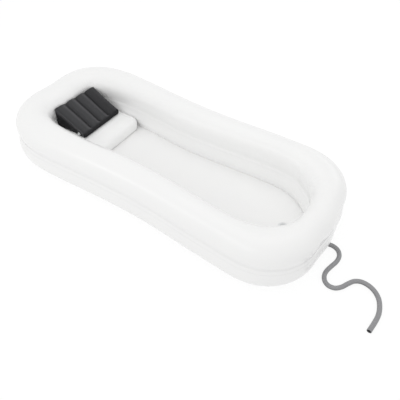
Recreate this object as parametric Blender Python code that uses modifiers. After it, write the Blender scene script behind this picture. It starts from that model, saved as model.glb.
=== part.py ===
"""Inflatable bath for lying in: two stacked air rings, a floor sheet, a built-in headrest,
a loose wedge pillow, a plugged drain with its hose, and an air valve for each air chamber.

X runs along the bath with the head end at -X, Z is up, and the origin is on the ground
under the middle of the rings. All lengths are in metres.
"""
import math
from collections import namedtuple

import bmesh
import bpy
import numpy as np
from mathutils import Matrix, Vector

# Gaps and overruns that every piece shares
TOUCH_GAP = 0.0003
CUT_OVERRUN = 0.004
MERGE_DISTANCE = 0.00001

# Air rings
RINGS_LENGTH = 2.128
RINGS_WIDTH = 0.939
UPPER_TUBE_WIDTH = 0.198
LOWER_TUBE_WIDTH = 0.222
UPPER_RING_ROUND_HEIGHT = 0.188
LOWER_RING_ROUND_HEIGHT = 0.184
RING_FILM = 0.0008
FACET_DEGREES = 18
SEAM_DEGREES = 45
PLAN_STEPS = 2
# Half of the rings' middle line, from the foot round the far side to the head:
# shares of half the length and half the width, and of the tube's width there
PLAN_SHARES = (
    (0.995, 0.000, 0.851),
    (0.976, 0.280, 0.843),
    (0.953, 0.531, 0.993),
    (0.897, 0.751, 1.134),
    (0.801, 0.923, 1.125),
    (0.659, 0.984, 0.979),
    (0.447, 0.966, 0.945),
    (0.193, 0.919, 0.969),
    (-0.109, 0.900, 1.027),
    (-0.385, 0.946, 1.009),
    (-0.641, 0.972, 1.078),
    (-0.832, 0.914, 1.135),
    (-0.940, 0.753, 1.120),
    (-0.992, 0.525, 1.100),
    (-0.995, 0.000, 1.085),
)

# Floor sheet
FLOOR_LEVEL = 0.036
FLOOR_SHEET = 0.0010
FLOOR_SIDE_GAP = 0.0006
FLOOR_MARGIN_POINTS = 3

# Headrest cushion
HEADREST_TOP = 0.122
HEADREST_REACH = 0.6256
HEADREST_FRONT_X = HEADREST_REACH - RINGS_LENGTH / 2
HEADREST_FILM = 0.0007
HEADREST_CORNER_RADIUS = 0.055
HEADREST_BASE_ROUND = 0.012
HEADREST_TOP_ROUND = 0.026
HEADREST_CROWN = 0.006
HEADREST_CROWN_INSET = 0.040
HEADREST_SIDE_GAP = 0.0006

# Wedge pillow
PILLOW_WIDTH = 0.330
PILLOW_LENGTH = 0.240
PILLOW_BACK_SKEW = 0.024
PILLOW_BACK_HEIGHT = 0.133
PILLOW_FRONT_HEIGHT = 0.026
PILLOW_FILM = 0.0006
PILLOW_CHANNELS = 4
PILLOW_CHANNEL_CROWN = 0.014
PILLOW_BACK_CROWN = 0.006
PILLOW_EDGE_ROUND = 0.007
PILLOW_WALL_CLEARANCE = 0.0020
PILLOW_CENTRE_Y = 0.024
# Shares of the wedge's length from its back, and of its channels' swell there
PILLOW_BODY_SHARES = ((0.15, 1.0), (0.35, 1.0), (0.55, 1.0), (0.76, 1.0), (0.90, 0.45))
PILLOW_BACK_SWELL_SHARES = (0.5, 0.9)
PILLOW_FRONT_SWELL_SHARES = (0.15, 0.1)

# Drain
DRAIN_SETBACK = 0.2814
DRAIN_X = RINGS_LENGTH / 2 - DRAIN_SETBACK
DRAIN_Y = 0.002
DRAIN_FLANGE_RADIUS = 0.030
DRAIN_FLANGE_HEIGHT = 0.0025
DRAIN_CUP_RADIUS = 0.0205
DRAIN_CUP_WALL = 0.0025
DRAIN_CUP_BASE = 0.0015
DRAIN_CUP_FLOOR = 0.0025
DRAIN_SEAT_DEPTH = 0.009
DRAIN_SEAT_STEP = 0.0020
NUT_RADIUS = 0.027
NUT_HEIGHT = 0.0060
SPIGOT_LENGTH = 0.036
SPIGOT_WALL = 0.0016
BARB_HEIGHT = 0.0010
BARB_LENGTH = 0.0070
BARB_COUNT = 3
PLUG_HEAD_RADIUS = 0.0190
PLUG_HEAD_HEIGHT = 0.0030
PLUG_BODY_DEPTH = 0.0080
PLUG_TAPER = 0.0012
PLUG_STEM_RADIUS = 0.0035
PLUG_KNOB_RADIUS = 0.0065
PLUG_KNOB_HEIGHT = 0.0035
PLUG_STEM_HEIGHT = 0.0030

# Drain hose, whose route is given on the ground: along, across
HOSE_DIAMETER = 0.025
HOSE_WALL = 0.0030
HOSE_POINTS = 40
HOSE_OUTER_SIDES = 10
HOSE_BORE_SIDES = 8
HOSE_TUNNEL_CLEARANCE = 0.0020
HOSE_TUNNEL_MARGIN = 0.030
HOSE_ROUTE = (
    (0.925, 0.029),
    (1.038, 0.051),
    (1.072, 0.054),
    (1.103, 0.041),
    (1.122, 0.009),
    (1.123, -0.032),
    (1.111, -0.078),
    (1.102, -0.118),
    (1.104, -0.152),
    (1.120, -0.181),
    (1.147, -0.195),
    (1.179, -0.189),
    (1.205, -0.163),
    (1.225, -0.126),
    (1.246, -0.095),
    (1.279, -0.077),
    (1.319, -0.078),
    (1.355, -0.094),
    (1.384, -0.123),
    (1.402, -0.161),
    (1.412, -0.205),
    (1.411, -0.254),
    (1.403, -0.319),
)

# Air valves: one set of sizes for the rings and the headrest, one for the pillow
ValveSize = namedtuple(
    "ValveSize",
    "flange_radius flange_height neck_radius neck_height bore_radius tail_radius tail_length "
    "lid_radius lid_height stem_radius stem_length strap_width strap_height lug_depth hinge_reach",
)
CHAMBER_VALVE = ValveSize(
    flange_radius=0.0195,
    flange_height=0.0016,
    neck_radius=0.0125,
    neck_height=0.0090,
    bore_radius=0.0095,
    tail_radius=0.0115,
    tail_length=0.0080,
    lid_radius=0.0135,
    lid_height=0.0030,
    stem_radius=0.0080,
    stem_length=0.0050,
    strap_width=0.0070,
    strap_height=0.0014,
    lug_depth=0.0035,
    hinge_reach=0.0185,
)
PILLOW_VALVE = ValveSize(
    flange_radius=0.0105,
    flange_height=0.0012,
    neck_radius=0.0055,
    neck_height=0.0055,
    bore_radius=0.0040,
    tail_radius=0.0052,
    tail_length=0.0050,
    lid_radius=0.0065,
    lid_height=0.0020,
    stem_radius=0.0031,
    stem_length=0.0030,
    strap_width=0.0040,
    strap_height=0.0010,
    lug_depth=0.0020,
    hinge_reach=0.0090,
)
RING_VALVE_X = -0.110
HEADREST_VALVE_SETBACK = 0.080
HEADREST_VALVE_X = HEADREST_FRONT_X - HEADREST_VALVE_SETBACK
HEADREST_VALVE_INSET = 0.052
PILLOW_VALVE_SETBACK = 0.052
PILLOW_VALVE_HEIGHT = 0.018

TURNED_STEPS = 20
CORNER_STEPS = 4
EDGE_STEPS = 3
CHANNEL_STEPS = 6
CHANNEL_FULLNESS = 0.8
ROUTE_STEPS = 8
NUT_SIDES = 8

VINYL_WHITE = (0.885, 0.885, 0.885, 1.0)
VALVE_WHITE = (0.80, 0.81, 0.82, 1.0)
PILLOW_CHARCOAL = (0.045, 0.045, 0.047, 1.0)
HOSE_GREY = (0.27, 0.27, 0.275, 1.0)
PLUG_BLACK = (0.02, 0.02, 0.021, 1.0)


def clear_scene():
    for item in list(bpy.data.objects):
        bpy.data.objects.remove(item, do_unlink=True)


def collection(name):
    made = bpy.data.collections.new(name)
    bpy.context.scene.collection.children.link(made)
    return made


def material(name, colour, roughness):
    made = bpy.data.materials.new(name)
    made.use_nodes = True
    shader = made.node_tree.nodes["Principled BSDF"]
    shader.inputs["Base Color"].default_value = colour
    shader.inputs["Roughness"].default_value = roughness
    shader.inputs["Metallic"].default_value = 0.0
    return made


def add_object(name, mesh, group, paint=None):
    """Links a mesh as an object, shaded smooth, into its collection."""
    made = bpy.data.objects.new(name, mesh)
    group.objects.link(made)
    mesh.shade_smooth()
    if paint:
        mesh.materials.append(paint)
    if group is CUTTERS:
        made.hide_render = True
        made.display_type = "WIRE"
    return made


def mesh_from(name, bm):
    """Turns a finished bmesh into a mesh whose faces point out."""
    bmesh.ops.recalc_face_normals(bm, faces=bm.faces)
    mesh = bpy.data.meshes.new(name)
    bm.to_mesh(mesh)
    bm.free()
    return mesh


def boolean(target, operand, operation="DIFFERENCE"):
    step = target.modifiers.new(operation.lower() + "_" + operand.name, "BOOLEAN")
    step.operation = operation
    step.object = operand
    step.solver = "EXACT"


def block(name, low, high):
    """Box cutter or piece between two corners."""
    bm = bmesh.new()
    bmesh.ops.create_cube(bm, size=1)
    for vert in bm.verts:
        share = vert.co + Vector((0.5, 0.5, 0.5))
        vert.co = Vector(a + (b - a) * s for a, b, s in zip(low, high, share))
    return add_object(name, mesh_from(name, bm), CUTTERS)


def rod(name, radius, low, high, steps=TURNED_STEPS):
    """Round cutter along Z between two heights."""
    bm = bmesh.new()
    bmesh.ops.create_cone(
        bm,
        cap_ends=True,
        segments=steps,
        radius1=radius,
        radius2=radius,
        depth=high - low,
        matrix=Matrix.Translation((0, 0, (low + high) / 2)),
    )
    return add_object(name, mesh_from(name, bm), CUTTERS)


def turned(name, profile, group, paint=None, closed=False, steps=TURNED_STEPS):
    """Turns a profile of (radius, height) round Z with a Screw modifier."""
    mesh = bpy.data.meshes.new(name)
    count = len(profile)
    edges = [(i, i + 1) for i in range(count - 1)]
    if closed:
        edges.append((count - 1, 0))
    mesh.from_pydata([(radius, 0, height) for radius, height in profile], edges, [])
    made = add_object(name, mesh, group, paint)
    screw = made.modifiers.new("turn", "SCREW")
    screw.steps = steps
    screw.render_steps = steps
    screw.use_merge_vertices = True
    screw.merge_threshold = MERGE_DISTANCE
    screw.use_smooth_shade = True
    return made


def place(items, frame):
    for item in items:
        item.matrix_basis = frame @ item.matrix_basis


def between(a, b, c, d, t):
    """Place at the share t from b to c on the smooth curve through four numbers."""
    slope = c - a
    bend = 2 * a - 5 * b + 4 * c - d
    twist = 3 * b - a - 3 * c + d
    return (2 * b + slope * t + bend * t**2 + twist * t**3) / 2


def catmull_rom(points, steps):
    """Smooth open curve through the points, with the given steps between two of them."""
    last = len(points) - 1
    curve = []
    for i in range(last):
        a, b, c, d = (points[min(max(k, 0), last)] for k in (i - 1, i, i + 1, i + 2))
        for step in range(steps):
            share = step / steps
            curve.append(tuple(between(*four, share) for four in zip(a, b, c, d)))
    curve.append(tuple(points[-1]))
    return curve


def closed_spline(knots, steps):
    """Closed curve through the knots whose slope and bend run on through every knot.

    Between two knots each number is a cubic of the share t of the way, and its bend,
    the second slope, changes evenly from one knot's to the next one's.
    """
    start = np.array(knots)
    count = len(start)
    end = np.roll(start, -1, axis=0)
    chord = np.linalg.norm((end - start)[:, :2], axis=1)[:, None]
    before = np.roll(chord, 1)
    slope = (end - start) / chord
    here = np.arange(count)
    system = np.zeros((count, count))
    system[here, here] = 2 * (before + chord)[:, 0]
    system[here, here - 1] += before[:, 0]
    system[here, (here + 1) % count] += chord[:, 0]
    bend = np.linalg.solve(system, 6 * (slope - np.roll(slope, 1, axis=0)))
    next_bend = np.roll(bend, -1, axis=0)
    parts = []
    for step in range(steps):
        t = step / steps
        u = 1 - t
        sag = bend * (u - u**3) + next_bend * (t - t**3)
        parts.append(start * u + end * t - sag * chord**2 / 6)
    return [tuple(float(v) for v in row) for row in np.stack(parts, axis=1).reshape(-1, start.shape[1])]


def evenly_spaced(points, count):
    """The same open line with points at equal distances along it."""
    line = [Vector(point) for point in points]
    reach = [0.0]
    for a, b in zip(line, line[1:]):
        reach.append(reach[-1] + (b - a).length)
    spaced = []
    k = 0
    for i in range(count):
        want = reach[-1] * i / (count - 1)
        while k < len(line) - 2 and reach[k + 1] < want:
            k += 1
        share = (want - reach[k]) / (reach[k + 1] - reach[k])
        spaced.append(line[k].lerp(line[k + 1], min(max(share, 0.0), 1.0)))
    return spaced


def offset_outline(points, distance):
    """Closed anticlockwise outline whose sides are moved outwards by the distance.

    The third number of a point, where it has one, is its share of the distance.
    """
    corners = [Vector(point[:2]) for point in points]
    moved = []
    for i, point in enumerate(points):
        before = corners[i] - corners[i - 1]
        after = corners[(i + 1) % len(points)] - corners[i]
        n1 = Vector((before.y, -before.x)).normalized()
        n2 = Vector((after.y, -after.x)).normalized()
        way = (n1 + n2).normalized()
        reach = distance * (point[2] if len(point) > 2 else 1)
        moved.append(tuple(corners[i] + way * (reach / way.dot(n1))))
    return moved


def wall_reach(tube_width):
    """Distance from a tube's middle line to the upright facet on its side."""
    return tube_width / 2 * math.cos(math.radians(FACET_DEGREES / 2))


def inside_reach(sections, low):
    """How far the ring sections reach inwards above a height."""
    reach = 0
    for section in sections:
        for (d1, h1), (d2, h2) in zip(section, section[1:] + section[:1]):
            if h2 >= low:
                reach = max(reach, -d2)
            if min(h1, h2) < low < max(h1, h2):
                reach = max(reach, -d1 - (d2 - d1) * (low - h1) / (h2 - h1))
    return reach


def plan_line():
    """Middle line of both rings seen from above, anticlockwise from the foot.

    Each point is along, across, and the share of the tube's width there. The line is
    moved along until the outsides of both ends are equally far from the origin.
    """
    ends = LOWER_TUBE_WIDTH * (PLAN_SHARES[0][2] + PLAN_SHARES[-1][2]) / 2
    half_length = (RINGS_LENGTH - ends) / 2
    half_width = (RINGS_WIDTH - LOWER_TUBE_WIDTH) / 2
    half = [(along * half_length, across * half_width, width) for along, across, width in PLAN_SHARES]
    mirrored = [(along, -across, width) for along, across, width in reversed(half[1:-1])]
    line = closed_spline(half + mirrored, PLAN_STEPS)
    outside = [along for along, across in offset_outline(line, wall_reach(LOWER_TUBE_WIDTH))]
    shift = (max(outside) + min(outside)) / 2
    return [(along - shift, across, width) for along, across, width in line]


def ring_heights():
    """Centre heights of the lower and upper tubes, and of the seam where they meet."""
    edge = math.radians(90 - FACET_DEGREES / 2)
    seam_angle = math.radians(SEAM_DEGREES)
    lower = LOWER_RING_ROUND_HEIGHT / 2 * math.sin(edge)
    seam = lower + LOWER_RING_ROUND_HEIGHT / 2 * math.sin(seam_angle)
    upper = seam + TOUCH_GAP + UPPER_RING_ROUND_HEIGHT / 2 * math.sin(seam_angle)
    return lower, upper, seam


def ring_section(centre, tube_width, round_height, side):
    """Oval section cut flat at the seam, as (distance outwards, height).

    side is 1 for the upper ring, whose flat is below, and -1 for the lower ring.
    """
    count = (360 - 2 * SEAM_DEGREES) // FACET_DEGREES
    section = []
    for i in range(count + 1):
        angle = math.radians(-SEAM_DEGREES + i * FACET_DEGREES)
        across = tube_width / 2 * math.cos(angle)
        up = round_height / 2 * math.sin(angle) * side
        section.append((across, centre + up))
    return section if side > 0 else section[::-1]


def band(bm, one, other):
    """Faces between two level loops, always split from the lower loop up to the next point.

    The width of the tube changes along the plan, so the fours aren't flat. Skins that
    follow each other have to be split alike.
    """
    low, high = sorted((one, other), key=lambda loop: loop[0].co.z)
    for i in range(len(low)):
        j = (i + 1) % len(low)
        bm.faces.new((low[i], low[j], high[j]))
        bm.faces.new((low[i], high[j], high[i]))


def swept_loops(bm, plan, section):
    """One level loop of points round the plan for each (distance outwards, height)."""
    loops = []
    for distance, height in section:
        outline = offset_outline(plan, distance)
        loops.append([bm.verts.new((x, y, height)) for x, y in outline])
    return loops


def sweep(name, plan, section, group, paint=None):
    """Closed tube of one section carried round the plan line."""
    bm = bmesh.new()
    loops = swept_loops(bm, plan, section)
    for one, other in zip(loops, loops[1:] + loops[:1]):
        band(bm, one, other)
    return add_object(name, mesh_from(name, bm), group, paint)


def air_ring(name, section, plan):
    """Air ring of vinyl film, hollow inside."""
    ring = sweep(name, plan, section, PARTS, VINYL)
    hollow = sweep(name + "_air", plan, offset_outline(section, -RING_FILM), CUTTERS)
    return ring, hollow


def upright_frame(spot, out):
    """Frame at a spot on a wall: Z points out of the wall, and Y points up."""
    up = Vector((0, 0, 1))
    return Matrix.Translation(spot) @ Matrix((up.cross(out), up, out)).transposed().to_4x4()


def wall_frame(plan, tube_width, near_x, height):
    """Frame on the far outer wall of a ring, on the flat facet that faces sideways."""
    wall = [Vector(point) for point in offset_outline(plan, wall_reach(tube_width))]
    sides = [(a, b) for a, b in zip(wall, wall[1:]) if min(a.y, b.y) > 0]
    start, end = min(sides, key=lambda side: abs((side[0].x + side[1].x) / 2 - near_x))
    along = (end - start).normalized()
    out = Vector((along.y, -along.x, 0))
    middle = (start + end) / 2
    return upright_frame(Vector((middle.x, middle.y, height)) + out * TOUCH_GAP, out)


def air_valve(name, size, frame):
    """Valve seat welded on a wall, with a plug cap that swings on its strap.

    The frame's Z points out of the wall, and its Y points to the strap.
    """
    top = size.flange_height + size.neck_height
    seat = turned(
        name,
        [
            (size.neck_radius, top),
            (size.neck_radius, size.flange_height),
            (size.flange_radius, size.flange_height),
            (size.flange_radius, 0),
            (size.tail_radius, 0),
            (size.tail_radius, -size.tail_length),
            (size.bore_radius, -size.tail_length),
            (size.bore_radius, top),
        ],
        PARTS,
        VALVE,
        closed=True,
    )
    hinge_y = size.hinge_reach
    lug = block(
        name + "_lug",
        (-size.strap_width / 2, hinge_y - size.lug_depth, size.flange_height / 2),
        (size.strap_width / 2, hinge_y, top),
    )
    boolean(seat, lug, "UNION")
    hinge = bpy.data.objects.new(name + "_hinge", None)
    PARTS.objects.link(hinge)
    hinge.location = (0, hinge_y, top + TOUCH_GAP)
    cap = turned(
        name + "_cap",
        [
            (0, size.lid_height),
            (size.lid_radius, size.lid_height),
            (size.lid_radius, 0),
            (size.stem_radius, 0),
            (size.stem_radius, -size.stem_length),
            (0, -size.stem_length),
        ],
        PARTS,
        VALVE,
    )
    cap.parent = hinge
    cap.location = (0, -hinge_y, 0)
    strap = block(
        name + "_strap",
        (-size.strap_width / 2, size.stem_radius, 0),
        (size.strap_width / 2, hinge_y, size.strap_height),
    )
    strap.parent = hinge
    strap.location = (0, -hinge_y, 0)
    boolean(cap, strap, "UNION")
    place((seat, lug, hinge), frame)
    return seat


def valve_hole(name, size, frame, wall):
    """Hole that a valve's tail goes through."""
    reach = CUT_OVERRUN
    hole = rod(name + "_hole", size.tail_radius + TOUCH_GAP, -reach, reach)
    place((hole,), frame)
    boolean(wall, hole)


def with_weld_line(section):
    """The lower ring's section with one more point inside, where the floor meets it."""
    for i in range(len(section)):
        d1, h1 = section[i - 1]
        d2, h2 = section[i]
        if max(d1, d2) < 0 and min(h1, h2) < FLOOR_LEVEL < max(h1, h2):
            share = (FLOOR_LEVEL - h1) / (h2 - h1)
            return section[:i] + [(d1 + (d2 - d1) * share, FLOOR_LEVEL)] + section[i:]
    return section


def floor_sheet(plan, section):
    """Floor sheet, whose margin follows the lower ring's wall down to where it is welded."""
    inside = sorted((height, distance) for distance, height in section if distance < 0)
    welded = [point for point in inside if point[0] <= FLOOR_LEVEL][-FLOOR_MARGIN_POINTS:]
    margin = [(distance - FLOOR_SIDE_GAP, height) for height, distance in welded]
    bm = bmesh.new()
    loops = swept_loops(bm, plan, margin)
    for outer, inner in zip(loops, loops[1:]):
        band(bm, outer, inner)
    bm.faces.new(loops[-1])
    mesh = bpy.data.meshes.new("bath_floor")
    bm.to_mesh(mesh)
    bm.free()
    floor = add_object("bath_floor", mesh, PARTS, VINYL)
    wall = floor.modifiers.new("sheet", "SOLIDIFY")
    wall.thickness = FLOOR_SHEET
    wall.offset = -1
    wall.use_even_offset = True
    return floor


def headrest_outline(plan):
    """Outline of the headrest: the inside of the ring at the head, and a straight front."""
    wall = offset_outline(plan, -wall_reach(LOWER_TUBE_WIDTH) - HEADREST_SIDE_GAP)
    corner_x = HEADREST_FRONT_X - HEADREST_CORNER_RADIUS
    outline = [point for point in wall if point[0] < corner_x]
    corner_y = max(wall_across(wall, corner_x))
    arc = []
    for i in range(CORNER_STEPS + 1):
        angle = math.pi / 2 * i / CORNER_STEPS
        arc.append(
            (
                corner_x + HEADREST_CORNER_RADIUS * math.cos(angle),
                corner_y - HEADREST_CORNER_RADIUS + HEADREST_CORNER_RADIUS * math.sin(angle),
            )
        )
    return [(x, -y) for x, y in reversed(arc)] + arc + outline


def wall_across(outline, along):
    """Where an outline crosses one place along the bath."""
    found = []
    for (x1, y1), (x2, y2) in zip(outline, outline[1:] + outline[:1]):
        if (x1 - along) * (x2 - along) < 0:
            found.append(y1 + (y2 - y1) * (along - x1) / (x2 - x1))
    return found


def edge_profile():
    """Side of the headrest from its base to its flat top, as (inset, height)."""
    low = FLOOR_LEVEL + TOUCH_GAP
    high = HEADREST_TOP - HEADREST_CROWN
    profile = []
    for radius, centre, way in (
        (HEADREST_BASE_ROUND, low + HEADREST_BASE_ROUND, -1),
        (HEADREST_TOP_ROUND, high - HEADREST_TOP_ROUND, 1),
    ):
        angles = [math.pi / 2 * i / EDGE_STEPS for i in range(EDGE_STEPS + 1)]
        arc = [(radius - radius * math.cos(a), centre + way * radius * math.sin(a)) for a in angles]
        profile += arc[::way]
    profile.append((HEADREST_CROWN_INSET, HEADREST_TOP))
    return profile


def stacked_loops(name, loops, group, paint):
    """Closed form through loops of the same number of points, capped at both ends."""
    bm = bmesh.new()
    rings = [[bm.verts.new(point) for point in loop] for loop in loops]
    count = len(rings[0])
    for lower, upper in zip(rings, rings[1:]):
        for i in range(count):
            j = (i + 1) % count
            bm.faces.new((lower[i], lower[j], upper[j], upper[i]))
    bm.faces.new(rings[0])
    bm.faces.new(rings[-1])
    return add_object(name, mesh_from(name, bm), group, paint)


def hollow_out(item, film):
    """Leaves only a film of the given thickness round the air inside."""
    wall = item.modifiers.new("film", "SOLIDIFY")
    wall.thickness = film
    wall.offset = -1
    wall.use_even_offset = True


def headrest(plan):
    """Built-in headrest cushion across the head end, with its valve near the near wall."""
    outline = headrest_outline(plan)
    loops = []
    for inset, height in edge_profile():
        loops.append([(x, y, height) for x, y in offset_outline(outline, -inset)])
    cushion = stacked_loops("headrest_cushion", loops, PARTS, VINYL)
    hollow_out(cushion, HEADREST_FILM)
    side = min(wall_across(outline, HEADREST_VALVE_X))
    spot = Vector((HEADREST_VALVE_X, side + HEADREST_VALVE_INSET, HEADREST_TOP + TOUCH_GAP))
    frame = Matrix.Translation(spot)
    air_valve("headrest_valve", CHAMBER_VALVE, frame)
    valve_hole("headrest_valve", CHAMBER_VALVE, frame, cushion)
    return cushion


def pillow_section(along, height, inset, crown):
    """Section across the wedge: flat base, flat sides, and a row of swelling channels.

    The back isn't square: its far side stands further forward, along the curve of the wall.
    """
    half = PILLOW_WIDTH / 2 - inset
    low = inset
    shoulder = height - inset - crown
    edge = PILLOW_EDGE_ROUND
    side = [(half - edge, low), (half, low + edge), (half, shoulder - edge / 2)]
    steps = PILLOW_CHANNELS * CHANNEL_STEPS
    top = []
    for i in range(steps + 1):
        swell = abs(math.sin(math.pi * i / CHANNEL_STEPS)) ** CHANNEL_FULLNESS
        top.append(((half - edge / 2) * (1 - 2 * i / steps), shoulder + crown * swell))
    section = side + top + [(-across, up) for across, up in reversed(side)]
    skew = PILLOW_BACK_SKEW * (1 - along / PILLOW_LENGTH)
    return [(along + skew * (across / PILLOW_WIDTH + 0.5), across, up) for across, up in section]


def pillow_stations():
    """Places along the wedge, as (distance from its back, inset, share of the swell)."""
    back, back_crown = PILLOW_BACK_SWELL_SHARES
    front_crown, front = PILLOW_FRONT_SWELL_SHARES
    stations = [(0, PILLOW_EDGE_ROUND, back), (PILLOW_BACK_CROWN, 0, back_crown)]
    stations += [(PILLOW_LENGTH * place, 0, swell) for place, swell in PILLOW_BODY_SHARES]
    stations.append((PILLOW_LENGTH - PILLOW_EDGE_ROUND, 0, front_crown))
    stations.append((PILLOW_LENGTH, PILLOW_EDGE_ROUND, front))
    return stations


def pillow_back(plan, reach):
    """Where the pillow's back stands: clear of the rings' inside at the head."""
    wall = offset_outline(plan, -reach)
    low = PILLOW_CENTRE_Y - PILLOW_WIDTH / 2
    high = PILLOW_CENTRE_Y + PILLOW_WIDTH / 2
    touches = []
    for (x1, y1), (x2, y2) in zip(wall, wall[1:] + wall[:1]):
        if x1 < HEADREST_FRONT_X and x2 < HEADREST_FRONT_X:
            if low <= y1 <= high:
                touches.append((x1, y1))
            for edge in (low, high):
                if (y1 - edge) * (y2 - edge) < 0:
                    touches.append((x1 + (x2 - x1) * (edge - y1) / (y2 - y1), edge))
    ends = [x - PILLOW_BACK_SKEW * (y - low) / PILLOW_WIDTH for x, y in touches]
    return max(ends) + PILLOW_WALL_CLEARANCE


def wedge_pillow(plan, sections):
    """Loose wedge pillow on the headrest, thick at the back, with four long channels."""
    slope = (PILLOW_BACK_HEIGHT - PILLOW_FRONT_HEIGHT) / PILLOW_LENGTH
    loops = []
    for along, inset, swell in pillow_stations():
        height = PILLOW_BACK_HEIGHT - slope * along
        loops.append(pillow_section(along, height, inset, PILLOW_CHANNEL_CROWN * swell))
    pillow = stacked_loops("wedge_pillow", loops, PARTS, CHARCOAL)
    hollow_out(pillow, PILLOW_FILM)
    base = HEADREST_TOP + TOUCH_GAP
    back_x = pillow_back(plan, inside_reach(sections, base + PILLOW_EDGE_ROUND))
    pillow.location = (back_x, PILLOW_CENTRE_Y, base)
    spot = Vector(
        (
            back_x + PILLOW_LENGTH - PILLOW_VALVE_SETBACK,
            PILLOW_CENTRE_Y - PILLOW_WIDTH / 2 - TOUCH_GAP,
            base + PILLOW_VALVE_HEIGHT,
        )
    )
    frame = upright_frame(spot, Vector((0, -1, 0)))
    air_valve("pillow_valve", PILLOW_VALVE, frame)
    valve_hole("pillow_valve", PILLOW_VALVE, frame, pillow)


def hose_heading():
    """Direction in which the hose leaves the drain, seen from above."""
    first = Vector(HOSE_ROUTE[1]) - Vector((DRAIN_X, DRAIN_Y))
    return first.normalized()


def hose_frame():
    """Frame at the drain, on the ground, with its X along the hidden run of the hose."""
    heading = hose_heading()
    turn = Matrix.Rotation(math.atan2(heading.y, heading.x), 4, "Z")
    return Matrix.Translation((DRAIN_X, DRAIN_Y, 0)) @ turn


def hose_bore_radius():
    """Largest round thing that the many-sided bore of the hose lets in."""
    return (HOSE_DIAMETER / 2 - HOSE_WALL) * math.cos(math.pi / HOSE_BORE_SIDES)


def drain_body():
    """Moulded drain: flange on the floor, cup below it, and a barbed spigot for the hose."""
    top = FLOOR_LEVEL + TOUCH_GAP + DRAIN_FLANGE_HEIGHT
    seat_radius = DRAIN_CUP_RADIUS - DRAIN_CUP_WALL - DRAIN_SEAT_STEP
    body = turned(
        "drain_body",
        [
            (0, top),
            (DRAIN_FLANGE_RADIUS - DRAIN_FLANGE_HEIGHT / 2, top),
            (DRAIN_FLANGE_RADIUS, top - DRAIN_FLANGE_HEIGHT / 2),
            (DRAIN_FLANGE_RADIUS, FLOOR_LEVEL + TOUCH_GAP),
            (DRAIN_CUP_RADIUS, FLOOR_LEVEL + TOUCH_GAP),
            (DRAIN_CUP_RADIUS, DRAIN_CUP_BASE),
            (0, DRAIN_CUP_BASE),
        ],
        PARTS,
        VALVE,
    )
    inside = turned(
        "drain_inside",
        [
            (0, top + CUT_OVERRUN),
            (seat_radius, top + CUT_OVERRUN),
            (seat_radius, top - DRAIN_SEAT_DEPTH),
            (seat_radius + DRAIN_SEAT_STEP, top - DRAIN_SEAT_DEPTH),
            (seat_radius + DRAIN_SEAT_STEP, DRAIN_CUP_BASE + DRAIN_CUP_FLOOR),
            (0, DRAIN_CUP_BASE + DRAIN_CUP_FLOOR),
        ],
        CUTTERS,
    )
    barb_radius = hose_bore_radius() - TOUCH_GAP
    root = seat_radius
    tip = DRAIN_CUP_RADIUS + SPIGOT_LENGTH
    profile = [(0, tip), (barb_radius - BARB_HEIGHT, tip)]
    for i in range(BARB_COUNT):
        profile.append((barb_radius, tip - BARB_LENGTH * (i + 1)))
        profile.append((barb_radius - BARB_HEIGHT, tip - BARB_LENGTH * (i + 1)))
    profile += [(barb_radius - BARB_HEIGHT, root), (0, root)]
    spigot = turned("drain_spigot", profile, CUTTERS)
    bore = rod("drain_bore", barb_radius - BARB_HEIGHT - SPIGOT_WALL, 0, tip + CUT_OVERRUN)
    lying = Matrix.Translation((0, 0, HOSE_DIAMETER / 2)) @ Matrix.Rotation(math.pi / 2, 4, "Y")
    place((spigot, bore), lying)
    boolean(body, spigot, "UNION")
    boolean(body, inside)
    boolean(body, bore)
    place((body, inside, spigot, bore), hose_frame())
    return body


def drain_nut():
    """Nut with eight flats that clamps the floor sheet from below."""
    high = FLOOR_LEVEL - FLOOR_SHEET - TOUCH_GAP
    bm = bmesh.new()
    bmesh.ops.create_cone(
        bm,
        cap_ends=True,
        segments=NUT_SIDES,
        radius1=NUT_RADIUS,
        radius2=NUT_RADIUS,
        depth=NUT_HEIGHT,
        matrix=Matrix.Translation((0, 0, high - NUT_HEIGHT / 2)),
    )
    nut = add_object("drain_backnut", mesh_from("drain_backnut", bm), PARTS, VALVE)
    hole = rod("drain_backnut_hole", DRAIN_CUP_RADIUS + TOUCH_GAP, 0, high + CUT_OVERRUN)
    place((nut, hole), hose_frame())
    boolean(nut, hole)
    return nut


def drain_plug():
    """Rubber plug with a knob, whose tapered body fills the drain's seat."""
    seat = FLOOR_LEVEL + TOUCH_GAP + DRAIN_FLANGE_HEIGHT + TOUCH_GAP
    head = seat + PLUG_HEAD_HEIGHT
    body_radius = DRAIN_CUP_RADIUS - DRAIN_CUP_WALL - DRAIN_SEAT_STEP - TOUCH_GAP
    knob = head + PLUG_STEM_HEIGHT
    plug = turned(
        "drain_plug",
        [
            (0, knob + PLUG_KNOB_HEIGHT),
            (PLUG_KNOB_RADIUS - PLUG_KNOB_HEIGHT / 3, knob + PLUG_KNOB_HEIGHT),
            (PLUG_KNOB_RADIUS, knob + PLUG_KNOB_HEIGHT / 2),
            (PLUG_STEM_RADIUS, knob),
            (PLUG_STEM_RADIUS, head),
            (PLUG_HEAD_RADIUS - PLUG_HEAD_HEIGHT / 3, head),
            (PLUG_HEAD_RADIUS, head - PLUG_HEAD_HEIGHT / 3),
            (PLUG_HEAD_RADIUS, seat),
            (body_radius, seat),
            (body_radius - PLUG_TAPER, seat - PLUG_BODY_DEPTH),
            (0, seat - PLUG_BODY_DEPTH),
        ],
        PARTS,
        RUBBER,
    )
    plug.location = (DRAIN_X, DRAIN_Y, 0)
    return plug


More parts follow.
